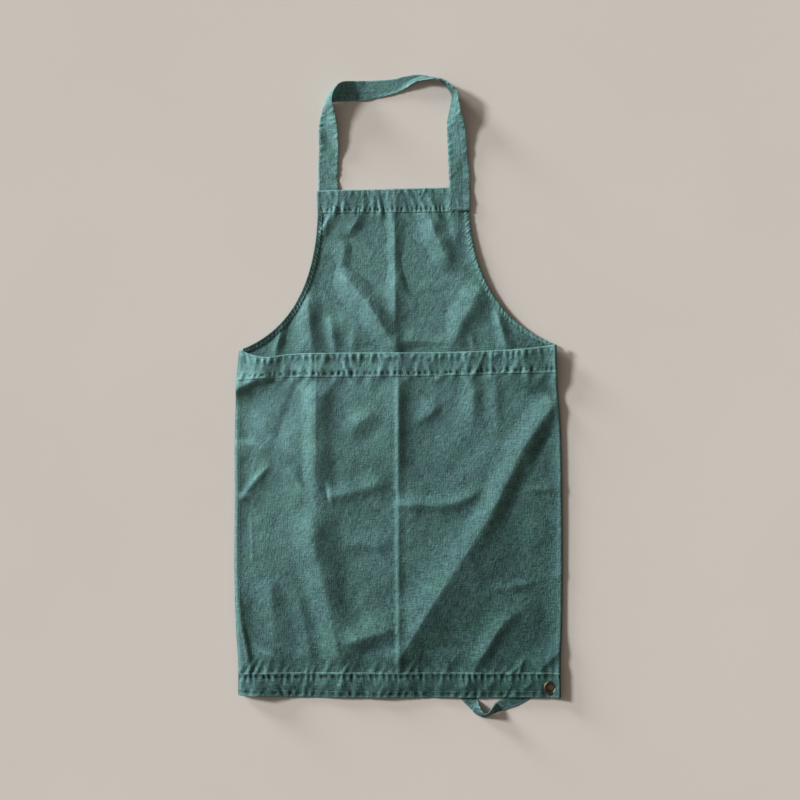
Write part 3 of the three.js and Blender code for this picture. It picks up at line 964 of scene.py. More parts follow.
@dataclass(frozen=True)
class SkirtLie:
    """The skirt's outline, and how high its layers lie: slack, folds, puckered seams and curled edges."""

    # Height up the skirt, left edge, right edge
    sides: Table = (
        (-486, -255.5, 259.5),
        (-430, -255.5, 259),
        (-372, -259, 261.5),
        (-290, -261.5, 262.5),
        (-165, -261, 262),
        (-55, -261, 259.5),
        (25, -258, 254),
        (82, -253, 252),
    )
    # Share across, bottom edge of the hem
    hem_edge: Table = ((0, -479.5), (0.2, -483), (1, -484))
    # Share across, folded edge of the pouch's mouth, seam of its band, lift of the mouth off the body
    mouth: Table = (
        (0, 72, 22, 0.5),
        (0.05, 63, 24, 6),
        (0.09, 60.3, 25.2, 7),
        (0.13, 62.8, 26.4, 6),
        (0.16, 65, 27, 4.5),
        (0.29, 67, 27.5, 4),
        (0.66, 68.5, 30, 4),
        (0.82, 71.5, 33, 5),
        (0.92, 75, 34, 8),
        (1, 80.5, 35, 1),
    )
    # Height up the skirt, and how far its left and right edges curl up off the floor
    curls: Table = (
        (-486, 5, 8),
        (-440, 6, 9),
        (-330, 6.5, 6.5),
        (-250, 7.5, 7.5),
        (-160, 6.5, 8),
        (-60, 4.5, 8.5),
        (20, 2.5, 10),
        (82, 3, 17),
    )
    # How far in the edges curl, and the rim where they turn down again
    curl_reach: float = 27.0
    rim: float = 4.0
    # Height of the hem's seam, how deep the cloths are tucked into the hem, and the panel's slack
    seam_y: float = -443.0
    tuck: float = 10.0
    slack: float = 4.0
    # Distances over which the panel comes down on its sides, on the hem and on the mouth's band
    side_ramp: float = 60.0
    hem_ramp: float = 34.0
    mouth_ramp: float = 34.0
    # Layers of cloth under the panel, in the mouth's band and in the hem
    under_mouth: int = 3
    under_hem: int = 2
    # Lift of the hem over the hang loop's ends, and where across it comes up
    loop_lift: float = 1.95
    loop_from: float = 52.0
    loop_to: float = 76.0
    # The hem's left corner stands up: how high, where in from the edge it crests, and how far it reaches
    corner_lift: float = 25.0
    corner_from: float = -6.0
    corner_crest: float = 36.0
    corner_across: float = 110.0
    corner_up: float = 90.0
    # Height of all folds, where in from the edge they come up to it, and the share that bands press out
    stand: float = 1.06
    fold_from: float = -8.0
    fold_to: float = 22.0
    mouth_press: float = 0.5
    hem_press: float = 0.6
    rumple_ramp: float = 30.0
    # Where the mouth gapes on the left, and drags the panel with it
    gape: tuple[Fold, ...] = (
        Fold(
            ((-198, 80), (-204, 61), (-217, 44), (-224, 28), (-240, 17), (-268, 1)),
            6.0, 38, 25, 1.4, 0.0, 0.0,
        ),
        Fold(((-180, 36), (-212, 28), (-240, 18), (-268, 2)), 5.5, 26, 10, 1.3, 0.4, 0.0),
    )
    folds: tuple[Fold, ...] = (
        # Pressed creases down the middle and the quarters
        Fold(((-1, 78), (-1, -200), (0, -486)), 3.0, 9, 14, 1.2, 0.0, 0.0),
        Fold(((0, 74), (0, -40), (0, -170)), 5.6, 60, 27, 1.4, 0.0, 0.5),
        Fold(((-133, 84), (-133, -60), (-132, -150), (-131, -215)), 6.5, 24, 34, 1.7, 0.0, 0.25),
        Fold(((-138, 60), (-140, -60), (-144, -150)), 11.0, 112, 250, 1.3, 0.1, 0.3),
        Fold(((-264, -190), (-262, -360), (-259, -500)), 7.5, 5, 92, 1.3, 0.5, 0.0),
        Fold(((-131, 62), (-131, -20), (-131, -110)), 0.9, 3, 3, 1.0, 0.0, 0.2),
        Fold(((118, 72), (118, 10), (119, -70)), 5.0, 26, 20, 1.5, 0.0, 0.5),
        Fold(((153, 62), (155, -20), (160, -85)), 2.8, 22, 17, 1.5, 0.0, 0.5),
        # Long bend down the left, and the one that runs into it from the side
        Fold(
            ((-136, -165), (-135, -232), (-124, -288), (-108, -352), (-95, -416), (-88, -470)),
            8.8, 40, 46, 1.5, 0.2, 0.0,
        ),
        Fold(((-181, -108), (-160, -142), (-142, -175)), 3.5, 26, 18, 1.3),
        # Big diagonal from the right edge to the hem's middle, which widens to its foot
        Fold(
            ((258, -4), (209, -68), (175, -132), (142, -198), (101, -262), (80, -294)),
            11.0, 36, 32, 1.5, 0.05, 0.4,
        ),
        Fold(
            ((142, -198), (101, -262), (59, -326), (19, -390), (-30, -474)),
            13.0, 54, 84, 1.2, 0.45, 0.0,
        ),
        Fold(((240, -318), (184, -349), (152, -384), (108, -462)), 5.0, 50, 76, 1.3, 0.5, 0.0),
        Fold(((240, -318), (184, -349), (152, -384), (108, -462)), 4.5, 22, 20, 1.5, 0.55, 0.0),
        Fold(((262, -405), (241, -423), (220, -444)), 8.5, 34, 16, 1.3, 0.0, 0.2),
        Fold(((260, -285), (219, -298), (171, -307), (128, -309)), 3.2, 16, 12, 1.3, 0.0, 0.4),
        Fold(((112, -398), (88, -420), (66, -446)), 4.5, 34, 18, 1.4, 0.5, 0.1),
        # Folds across
        Fold(((-114, -163), (-77, -155), (-40, -144), (-6, -141)), 6.5, 30, 20, 1.5, 0.05, 0.3),
        Fold(
            ((-14, -172), (51, -175), (91, -171), (121, -157), (142, -136)),
            7.0, 22, 17, 1.4, 0.15, 0.3,
        ),
        Fold(((-90, -234), (-45, -239), (-4, -241)), 4.2, 26, 18, 1.4),
        Fold(((-98, -396), (-56, -386), (14, -365)), 11.0, 38, 28, 1.5, 0.3, 0.35),
        Fold(((194, -152), (225, -150), (263, -150)), 3.4, 16, 9, 1.3, 0.4, 0.0),
        Fold(((18, -39), (47, -32), (67, -8)), 4.6, 34, 14, 1.4),
        Fold(((-92, -68), (-52, -36), (-24, -15)), 5.0, 22, 30, 1.6),
        # Left edge
        Fold(((-255, -170), (-234, -142), (-202, -108)), 4.2, 10, 15, 1.1, 0.05, 0.3),
        Fold(((-263, -160), (-240, -161), (-216, -168)), 4.5, 8, 12, 1.2, 0.0, 0.5),
        Fold(((-258, -78), (-226, -80), (-198, -96)), 4.5, 14, 40, 1.4, 0.0, 0.4),
        Fold(
            ((-262, -262), (-256, -325), (-250, -371), (-243, -406), (-237, -440)),
            4.2, 24, 8, 1.3, 0.45, 0.0,
        ),
        Fold(((-236, -166), (-234, -240), (-231, -296)), 1.0, 5, 5, 1.0),
        Fold(((-157, 34), (-182, -36), (-205, -106)), -2.0, 12, 30, 1.4, 0.05, 0.4),
        Fold(((-234, -403), (-202, -415), (-172, -430)), 4.0, 26, 13, 1.4),
        Fold(((-208, -270), (-201, -350), (-197, -415)), 2.8, 26, 24, 1.5),
        Fold(((-172, -285), (-150, -370), (-138, -446)), 2.4, 22, 18, 1.4, 0.5, 0.2),
    )
    # Puckers along the seam of the mouth's band, its folded edge, the hem's seam and its bottom edge
    mouth_seam: tuple[Puckers, ...] = (
        Puckers(-255, 255, 10.0, -2.2, 4.5, 4.0, 11, 6.0, 0.0, 0.15, 0.5),
        Puckers(-255, 255, 23.0, 2.4, 3.0, 17.0, 12, 0.0, 0.5),
        Puckers(-255, 255, 19.0, 2.8, 24.0, 6.0, 13, 4.0, 0.1),
    )
    mouth_top: Puckers = Puckers(-250, 250, 11.0, 2.2, 4.0, 8.0, 14, -6.0, 0.05, 0.12, 0.3)
    hem_seam: tuple[Puckers, ...] = (
        Puckers(-254, 256, 10.0, -3.0, 3.5, 5.5, 15, -7.0, 0.0, 0.1, 0.55),
        Puckers(-254, 256, 15.0, 2.4, 15.0, 3.0, 16, 1.0, 0.4, 0.25),
        Puckers(-254, 256, 27.0, 2.3, 16.0, 16.0, 17, -20.0, 0.3),
    )
    hem_bottom: Puckers = Puckers(-254, 256, 13.5, -2.8, 5.0, 6.0, 18, 7.0, 0.15, 0.2, 0.4)
    rumples: tuple[Rumple, ...] = (Rumple(64, 3.2, 21), Rumple(21, 1.5, 22), Rumple(8.5, 0.42, 23))

    def edge(self, side: Side, y: Array) -> Array:
        """X of a side edge at a height."""
        return read_table(self.sides, 1 if side is Side.LEFT else 2, y)

    def x_at(self, u: Array, y: Array) -> Array:
        """X at a share across and a height."""
        return mix(self.edge(Side.LEFT, y), self.edge(Side.RIGHT, y), u)

    def edge_gaps(self, x: Array, y: Array) -> tuple[Array, Array]:
        """Distances in from the left and the right edge."""
        return x - self.edge(Side.LEFT, y), self.edge(Side.RIGHT, y) - x

    def mouth_edge(self, u: Array) -> Array:
        """Height of the pouch's folded mouth edge."""
        return read_table(self.mouth, 1, u)

    def mouth_seam_y(self, u: Array) -> Array:
        """Height of the seam of the mouth's band."""
        return read_table(self.mouth, 2, u)

    def hem_bottom_y(self, u: Array) -> Array:
        """Height of the hem's bottom edge."""
        return read_table(self.hem_edge, 1, u)

    def hem_lift(self, x: Array) -> Array:
        """Lift of the hem over the hang loop's ends and the washer."""
        return self.loop_lift * ease(x, self.loop_from, self.loop_to)

    def curl(self, x: Array, y: Array) -> Array:
        """Lift of the side edges, each rolled up to its table's height, and of the hem's left corner.

        Args:
            x: Places across the apron.
            y: Places up it.

        Returns:
            The lift at each place.
        """
        total = np.zeros(np.broadcast(x, y).shape)
        gaps = self.edge_gaps(x, y)
        for column, gap in enumerate(gaps, start=1):
            total += read_table(self.curls, column, y) * rolled_edge(gap, self.curl_reach, self.rim)
        across = np.clip(1.0 - gaps[0] / self.corner_across, 0.0, 1.0)
        bulge = across**2 * ease(gaps[0], self.corner_from, self.corner_crest)
        up = np.clip(1.0 - (y - self.hem_edge[0][1]) / self.corner_up, 0.0, 1.0)
        return total + self.corner_lift * bulge * up**2

    def to_hem(self, y: Array) -> Array:
        """Share of the way down to the hem's seam."""
        return 1.0 - ease(y, self.seam_y, self.seam_y + self.hem_ramp)

    def panel_low(self, u: Array, y: Array) -> Array:
        """Underside of the pouch panel: slack with folds inside, brought down on its puckered seams.

        Args:
            u: Shares across.
            y: Heights up the skirt.

        Returns:
            Height off the floor.
        """
        x = self.x_at(u, y)
        gap = np.minimum(*self.edge_gaps(x, y))
        seam = self.mouth_seam_y(u)
        to_mouth = ease(y, seam - self.mouth_ramp, seam)
        to_hem = self.to_hem(y)
        free = LAYER + ease(gap, 0.0, self.side_ramp) * self.slack
        mouth = self.under_mouth * LAYER + read_table(self.mouth, 3, u)
        hem = self.under_hem * LAYER + self.hem_lift(x)
        low = mix(mix(free, mouth, to_mouth), hem, to_hem)
        folds = sum(fold.rise(x, y) for fold in self.folds)
        rumples = sum(rumple.rise(x, y) for rumple in self.rumples)
        folds = folds + ease(gap, 0.0, self.rumple_ramp) * rumples
        hold = self.stand * ease(gap, self.fold_from, self.fold_to)
        hold = hold * (1.0 - self.mouth_press * to_mouth) * (1.0 - self.hem_press * to_hem)
        low = low + hold * folds + sum(fold.rise(x, y) for fold in self.gape)
        low += sum(puckers.rise(x, y - seam) for puckers in self.mouth_seam)
        low += self.mouth_top.rise(x, y - self.mouth_edge(u))
        low += sum(puckers.rise(x, y - self.seam_y) for puckers in self.hem_seam)
        low += self.hem_bottom.rise(x, y - self.hem_bottom_y(u))
        return np.maximum(low, LAYER) + self.curl(x, y)

    def back_low(self, u: Array, y: Array) -> Array:
        """Underside of the skirt's back: on the floor, and raised in the hem by its band and the loop."""
        x = self.x_at(u, y)
        return self.to_hem(y) * (LAYER + self.hem_lift(x)) + self.curl(x, y)

    def band_face(self, u: Array, y: Array) -> Array:
        """Points on the face of a band whose front leaf lies on the panel."""
        return np.stack([self.x_at(u, y), y, self.panel_low(u, y) + LAYER + CLOTH], axis=-1)


@dataclass(frozen=True)
class BibLie:
    """The bib's outline between its armholes, and how high its cloth lies."""

    top_left: tuple[float, float] = (-130.0, 326.0)
    top_right: tuple[float, float] = (115.0, 332.5)
    left_armhole: Line = ((-129, 289), (-132, 203), (-157, 107), (-253, 72))
    right_armhole: Line = ((114.5, 292.5), (118, 212.5), (151.5, 116.5), (252, 80.5))
    # Height up the bib, and how far its left and right armhole edges curl up
    curls: Table = (
        (72, 6, 11),
        (95, 7.5, 9.5),
        (150, 5, 8.5),
        (220, 4.5, 8),
        (270, 3, 4.5),
        (292, 1, 1),
    )
    # How far in the armhole edges curl, and the rims where they turn down again
    left_reach: float = 13.0
    right_reach: float = 24.0
    left_rim: float = 1.0
    right_rim: float = 5.0
    # How far in the cloth ends under its bindings and band, and where it comes up to the band
    tuck: float = 2.5
    band_ramp: float = 26.0
    # Lift of the band over the strap's left end, and the shares across where it goes
    strap_lift: float = 2.35
    strap_from: float = 0.19
    strap_to: float = 0.36
    # Distances in from the armholes over which the cloth leaves its bindings, and folds come up
    free_from: float = 4.0
    free_to: float = 30.0
    fold_ramp: float = 18.0
    # Height of all folds, where above the waist they come up to it, and the share that the band presses out
    stand: float = 1.06
    waist_from: float = 15.0
    waist_to: float = 105.0
    band_press: float = 0.6
    edge_points: int = 90
    folds: tuple[Fold, ...] = (
        # Pressed crease down the middle, and its turn to the right
        Fold(((-7, 334), (-6, 220), (-5, 92)), 7.3, 22, 26, 1.3, 0.0, 0.2),
        Fold(((0, 215), (9, 168), (34, 124)), 2.2, 16, 16, 1.5),
        # Drags from the band's left corner and the dents below it
        Fold(((-99, 300), (-117, 272), (-131, 246)), 7.0, 12, 16, 1.2, 0.05, 0.3),
        Fold(((-58, 297), (-70, 274), (-84, 252)), 4.5, 16, 16, 1.3, 0.05, 0.4),
        Fold(((-89, 254), (-88, 220), (-103, 194)), 4.9, 22, 20, 1.5),
        Fold(((-40, 272), (-44, 225), (-52, 176)), 3.6, 22, 30, 1.5, 0.45, 0.45),
        # Long diagonal down to the middle of the waist
        Fold(((-104, 208), (-69, 167), (-37, 127), (-10, 79), (2, 52)), 12.0, 32, 29, 1.5, 0.2, 0.15),
        # Fan from the left armhole
        Fold(((-182, 122), (-190, 94), (-198, 60)), 6.5, 18, 12, 1.2, 0.2, 0.0),
        Fold(((-151, 200), (-143, 120), (-136, 60)), 8.5, 42, 24, 1.4, 0.6, 0.0),
        Fold(((-112, 138), (-105, 92), (-100, 60)), 4.2, 14, 16, 1.4, 0.6, 0.0),
        Fold(((-71, 118), (-73, 84), (-74, 60)), 2.6, 12, 14, 1.6, 0.6, 0.0),
        # Drag from the band's right, and the fan from the right armhole
        Fold(((46, 300), (58, 256), (77, 219), (96, 198)), 7.8, 26, 26, 1.5, 0.0, 0.3),
        Fold(((138, 181), (107, 126), (78, 66)), 7.5, 34, 34, 1.5, 0.15, 0.0),
        Fold(((152, 148), (164, 104), (175, 62)), 6.5, 16, 18, 1.3, 0.3, 0.0),
        Fold(((114, 104), (118, 84), (122, 60)), 3.0, 11, 10, 1.4, 0.4, 0.0),
        # Small turns above the pouch
        Fold(((-6, 106), (-4, 84), (-2, 60)), 2.0, 14, 12, 1.3, 0.4, 0.0),
        Fold(((-12, 86), (40, 87), (96, 82)), 5.0, 26, 16, 1.4, 0.35, 0.35),
    )
    # Puckers along the band's seam and its folded edge
    band_seam: tuple[Puckers, ...] = (
        Puckers(-128, 113, 7.5, -2.0, 4.5, 4.0, 31, 5.0, 0.0, 0.15, 0.5),
        Puckers(-128, 113, 14.0, 2.9, 26.0, 13.0, 32, 6.0, -0.15),
        Puckers(-128, 113, 24.0, 2.8, 6.0, 30.0, 33, 0.0, 0.2),
    )
    band_top: Puckers = Puckers(-128, 113, 10.0, 1.3, 5.0, 6.0, 34, -6.0, 0.0)
    rumples: tuple[Rumple, ...] = (Rumple(52, 3.4, 24), Rumple(19, 2.0, 25), Rumple(8, 0.45, 26))

    def armhole(self, side: Side, t: Array, inward: Union[float, Array]) -> Array:
        """Points along an armhole: a cubic Bézier curve from band to waist, moved in along its normal.

        Args:
            side: Which armhole.
            t: Shares of the way down it.
            inward: Distance in from the edge.

        Returns:
            X and Y of each point.
        """
        knots = self.left_armhole if side is Side.LEFT else self.right_armhole
        band, high, low, waist = np.asarray(knots, dtype=float)
        t = np.asarray(t, dtype=float)[..., None]
        back = 1.0 - t
        point = back**3 * band + 3 * back**2 * t * high + 3 * back * t**2 * low + t**3 * waist
        pull = back**2 * (high - band) + 2 * back * t * (low - high) + t**2 * (waist - low)
        pull /= np.linalg.norm(pull, axis=-1, keepdims=True)
        normal = np.stack([-pull[..., 1], pull[..., 0]], axis=-1) * -side.value
        return point + normal * np.asarray(inward, dtype=float)[..., None]

    def band_point(self, u: Array, inward: Array) -> tuple[Array, Array]:
        """Places on the band, which runs straight down from the bib's top edge to its seam.

        Args:
            u: Shares across.
            inward: Distances down from the top edge.

        Returns:
            X and Y of each place.
        """
        top = [mix(self.top_left[k], self.top_right[k], u) for k in (0, 1)]
        seam = [mix(self.left_armhole[0][k], self.right_armhole[0][k], u) for k in (0, 1)]
        share = inward / np.hypot(seam[0] - top[0], seam[1] - top[1])
        return mix(top[0], seam[0], share), mix(top[1], seam[1], share)

    def across(self, x: Array) -> Array:
        """Share across the band at a place."""
        return np.clip((x - self.top_left[0]) / (self.top_right[0] - self.top_left[0]), 0.0, 1.0)

    def seam_y(self, x: Array) -> Array:
        """Height of the band's seam."""
        return mix(self.left_armhole[0][1], self.right_armhole[0][1], self.across(x))

    def top_y(self, x: Array) -> Array:
        """Height of the bib's top edge."""
        return mix(self.top_left[1], self.top_right[1], self.across(x))

    def edge_gap(self, side: Side, x: Array, y: Array) -> Array:
        """Distance to the nearest of an armhole's points, or above the armhole to the band's end.

        Args:
            side: Which armhole.
            x: Places across the apron.
            y: Places up it.

        Returns:
            The distance from each place.
        """
        edge = self.armhole(side, np.linspace(0.0, 1.0, self.edge_points), 0.0)
        gap = np.full(np.broadcast(x, y).shape, np.inf)
        for point in edge:
            gap = np.minimum(gap, np.hypot(x - point[0], y - point[1]))
        end = side.value * (edge[0][0] - x)
        return np.where(y > edge[0][1], np.maximum(end, 0.0), gap)

    def low(self, x: Array, y: Array) -> Array:
        """Underside of the bib: folds inside, seated on its bindings and band, with curled armhole edges.

        Args:
            x: Places across the apron.
            y: Places up the apron.

        Returns:
            Height off the floor.
        """
        gaps = {side: self.edge_gap(side, x, y) for side in Side}
        gap = np.minimum(*gaps.values())
        inside = ease(gap, self.free_from, self.free_to)
        seam = self.seam_y(x)
        to_band = ease(y, seam - self.band_ramp, seam)
        lift = self.strap_lift * (1.0 - ease(self.across(x), self.strap_from, self.strap_to))
        low = mix(LAYER * (1.0 - inside), LAYER + lift, to_band)
        folds = sum(fold.rise(x, y) for fold in self.folds) * ease(gap, 0.0, self.fold_ramp)
        folds = folds + inside * sum(rumple.rise(x, y) for rumple in self.rumples)
        hold = self.stand * ease(y, self.waist_from, self.waist_to) * (1.0 - self.band_press * to_band)
        low = low + hold * folds
        low += sum(puckers.rise(x, y - seam) for puckers in self.band_seam)
        low += self.band_top.rise(x, y - self.top_y(x))
        low = np.maximum(low, 0.0)
        rolls = ((self.left_reach, self.left_rim), (self.right_reach, self.right_rim))
        for column, (side, roll) in enumerate(zip(Side, rolls), start=1):
            low += read_table(self.curls, column, y) * rolled_edge(gaps[side], *roll)
        return low


@dataclass(frozen=True)
class Leaves:
    """Rows and columns of a folded band: where each point is, how thick the cloth is there, and how much
    paler it is made from rubbing and a painted highlight.

    A point's place is its depth in from the folded edge, its rise over the fold's middle, and its run
    round the section from the front leaf's end.
    """

    inward: Array
    rise: Array
    run: Array
    full: Array
    rubbed_and_highlit: Array

    def turned(self) -> "Leaves":
        """The same leaves from the back leaf's end to the front one's."""
        return Leaves(*(rows[::-1] for rows in (self.inward, self.rise, self.run, self.full, self.rubbed_and_highlit)))

    def sheet(self, middle: Array, u: Array, keep: Union[Array, None] = None) -> Sheet:
        """The band's cloth, thinned to its sides too.

        Args:
            middle: The grid of points that the leaves come to lie on.
            u: The share across of its columns.
            keep: Which cells of the grid are cloth, where not all are.

        Returns:
            The sheet.
        """
        x = middle[..., 0]
        uv = np.stack([x, self.run], axis=-1) * MM
        full = np.minimum(self.full, side_fullness(u, x))
        return Sheet(middle, uv, full=full, keep=keep, rubbed_and_highlit=self.rubbed_and_highlit)


@dataclass(frozen=True)
class FoldedBand:
    """A strip folded round an edge: a front leaf, a round fold and a back leaf, with cloth between."""

    layers: int
    leaf_rows: int = 24
    fold_rows: int = 9
    back_rows: int = 10
    press: float = 3.5
    least: float = 0.3
    # How much paler the leaves' open edges are made, from rubbing and a painted highlight, and where in
    # from them that starts to lessen
    edge_rub_and_highlight: float = 0.75
    rub_from: float = 0.6

    @property
    def radius(self) -> float:
        """Radius of the fold's middle line."""
        return self.layers * LAYER / 2.0

    def section(self, depth: Array) -> tuple[Array, Array]:
        """Rows of the band: up its front leaf, half a turn round the fold, and down its back leaf.

        Args:
            depth: Depth of the leaves at each column.

        Returns:
            Depth in from the folded edge, and height over the fold's middle, of each row and column.
        """
        start = self.radius + CLOTH / 2.0
        front = np.linspace(0.0, 1.0, self.leaf_rows, endpoint=False)[:, None]
        turn = np.linspace(0.0, math.pi, self.fold_rows)[:, None]
        back = np.linspace(0.0, 1.0, self.back_rows + 1)[1:, None]
        level = np.zeros_like(depth)
        fold = start - self.radius * np.sin(turn) + level
        inward = np.concatenate([mix(depth, start, front), fold, mix(start, depth, back)])
        side = np.concatenate([np.ones_like(front), np.cos(turn), -np.ones_like(back)])
        return inward, self.radius * side + level

    def leaves(self, depth: Array) -> Leaves:
        """Lays out the band: its section, with the front leaf's open edge thinned and pressed down.

        Args:
            depth: Depth of the leaves at each column.

        Returns:
            The leaves, made paler at their open edges from rubbing and a painted highlight.
        """
        inward, rise = self.section(depth)
        steps = np.hypot(np.diff(inward, axis=0), np.diff(rise, axis=0))
        run = np.concatenate([np.zeros((1, len(depth))), np.cumsum(steps, axis=0)])
        full = np.where(rise > 0.0, edge_fullness(depth - inward, self.press, self.least), 1.0)
        # Painted highlight with rubbing: the leaves' open edges are made paler
        rubbed_and_highlit = self.edge_rub_and_highlight * (1.0 - ease(depth - inward, self.rub_from, self.press))
        return Leaves(inward, rise - (1.0 - full) * (CLOTH / 2.0 + GAP), run, full, rubbed_and_highlit)


# Sub-assemblies


@dataclass
class BodyCloth:
    """The bib and the skirt's back, one cloth."""

    skirt: SkirtLie
    bib: BibLie
    columns: int = 200
    bib_rows: int = 150
    skirt_rows: int = 26
    band_rows: int = 10
    skirt_top: float = 52.0

    def middle(self) -> tuple[Array, Array]:
        """Middle of the cloth: skirt rows straight across, bib rows between the armholes, band rows above.

        Returns:
            The grid of points, and the share across of its columns.
        """
        u = edge_columns(self.columns)
        tucked = self.skirt.seam_y - self.skirt.tuck
        below = np.linspace(tucked, self.skirt_top, self.skirt_rows)[:, None]
        x, y = self.skirt.x_at(u, below), np.broadcast_to(below, (self.skirt_rows, len(u)))
        skirt = np.stack([x, y, self.skirt.back_low(u, y)], axis=-1)
        t = np.linspace(1.0, 0.0, self.bib_rows)
        left, right = (self.bib.armhole(side, t, self.bib.tuck)[:, None] for side in Side)
        plan = mix(left, right, u[:, None])
        down = np.linspace(1.0, 0.0, self.band_rows + 1)[1:, None]
        seam_depth = self.bib.top_left[1] - self.bib.left_armhole[0][1]
        band = np.stack(self.bib.band_point(u, mix(self.bib.tuck, seam_depth, down)), axis=-1)
        plan = np.concatenate([plan, band])
        bib = np.concatenate([plan, self.bib.low(plan[..., 0], plan[..., 1])[..., None]], axis=-1)
        middle = np.concatenate([skirt, bib])
        middle[..., 2] += CLOTH / 2.0
        return middle, u

    def build(self, wardrobe: Wardrobe) -> list[bpy.types.Object]:
        """Builds and dresses the cloth.

        Args:
            wardrobe: Where finishes come from.

        Returns:
            The piece.
        """
        middle, u = self.middle()
        sheet = Sheet(middle, middle[..., :2] * MM, full=side_fullness(u, middle[..., 0]))
        cloth = wardrobe.dress(sheet.build("body_cloth"), Finish.PANEL, "apron_body")
        return [cloth]


@dataclass
class PouchFront:
    """The full-width pouch panel, the folded band along its mouth, and their stitching."""

    skirt: SkirtLie
    columns: int = 250
    rows: int = 170
    crowding: float = 0.4
    band_columns: int = 330
    tuck: float = 2.5
    side_stitch: float = 8.0
    side_stitch_from: float = 2.0
    side_stitch_to: float = 18.0
    edge_stitch: float = 1.8
    stitch_end: float = 0.004
    stitch_points: int = 700

    def panel(self) -> Sheet:
        """The panel: full-width rows from the hem's tuck to the band's, closer near both by a sine.

        Returns:
            The sheet.
        """
        u = edge_columns(self.columns)
        top = self.skirt.mouth_edge(u) - self.tuck
        even = np.linspace(0.0, 1.0, self.rows)[:, None]
        share = even - self.crowding * np.sin(2.0 * math.pi * even) / (2.0 * math.pi)
        y = mix(self.skirt.seam_y - self.skirt.tuck, top, share)
        x = self.skirt.x_at(u, y)
        middle = np.stack([x, y, self.skirt.panel_low(u, y) + CLOTH / 2.0], axis=-1)
        return Sheet(middle, middle[..., :2] * MM, full=side_fullness(u, x))

    def band(self) -> Sheet:
        """The band: a folded strip whose leaves lie one layer over and under the panel.

        Returns:
            The sheet.
        """
        u = edge_columns(self.band_columns)
        edge = self.skirt.mouth_edge(u)
        leaves = FoldedBand(2).leaves(edge - self.skirt.mouth_seam_y(u))
        y = edge - leaves.inward
        high = self.skirt.panel_low(np.broadcast_to(u, y.shape), y) + CLOTH / 2.0 + leaves.rise
        return leaves.sheet(np.stack([self.skirt.x_at(u, y), y, high], axis=-1), u)

    def stitch_rows(self) -> list[StitchRow]:
        """Lines of stitches along both edges of the band and both sides of the panel.

        Returns:
            The lines and their normals.
        """
        u = np.linspace(self.stitch_end, 1.0 - self.stitch_end, self.stitch_points)
        seam, edge = self.skirt.mouth_seam_y(u), self.skirt.mouth_edge(u)
        lines = [self.skirt.band_face(u, y) for y in (seam + self.edge_stitch, edge - self.edge_stitch)]
        bottom = self.skirt.seam_y + self.side_stitch_from
        y = np.linspace(bottom, self.side_stitch_to, self.stitch_points)
        left, right = (self.skirt.edge(side, y) for side in Side)
        for x in (left + self.side_stitch, right - self.side_stitch):
            high = self.skirt.panel_low((x - left) / (right - left), y) + CLOTH
            lines.append(np.stack([x, y, high], axis=-1))
        return Stitching.upright(lines)

    def build(self, wardrobe: Wardrobe) -> list[bpy.types.Object]:
        """Builds and dresses the panel, the band and the stitching.

        Args:
            wardrobe: Where finishes come from.

        Returns:
            The pieces.
        """
        panel = wardrobe.dress(self.panel().build("pouch_cloth"), Finish.PANEL, "pouch_panel")
        band = wardrobe.dress(self.band().build("pouch_mouth_band"), Finish.BAND, "pouch_band")
        thread = wardrobe.dress(Stitching().build("pouch_stitching", self.stitch_rows()), Finish.THREAD)
        return [panel, band, thread]


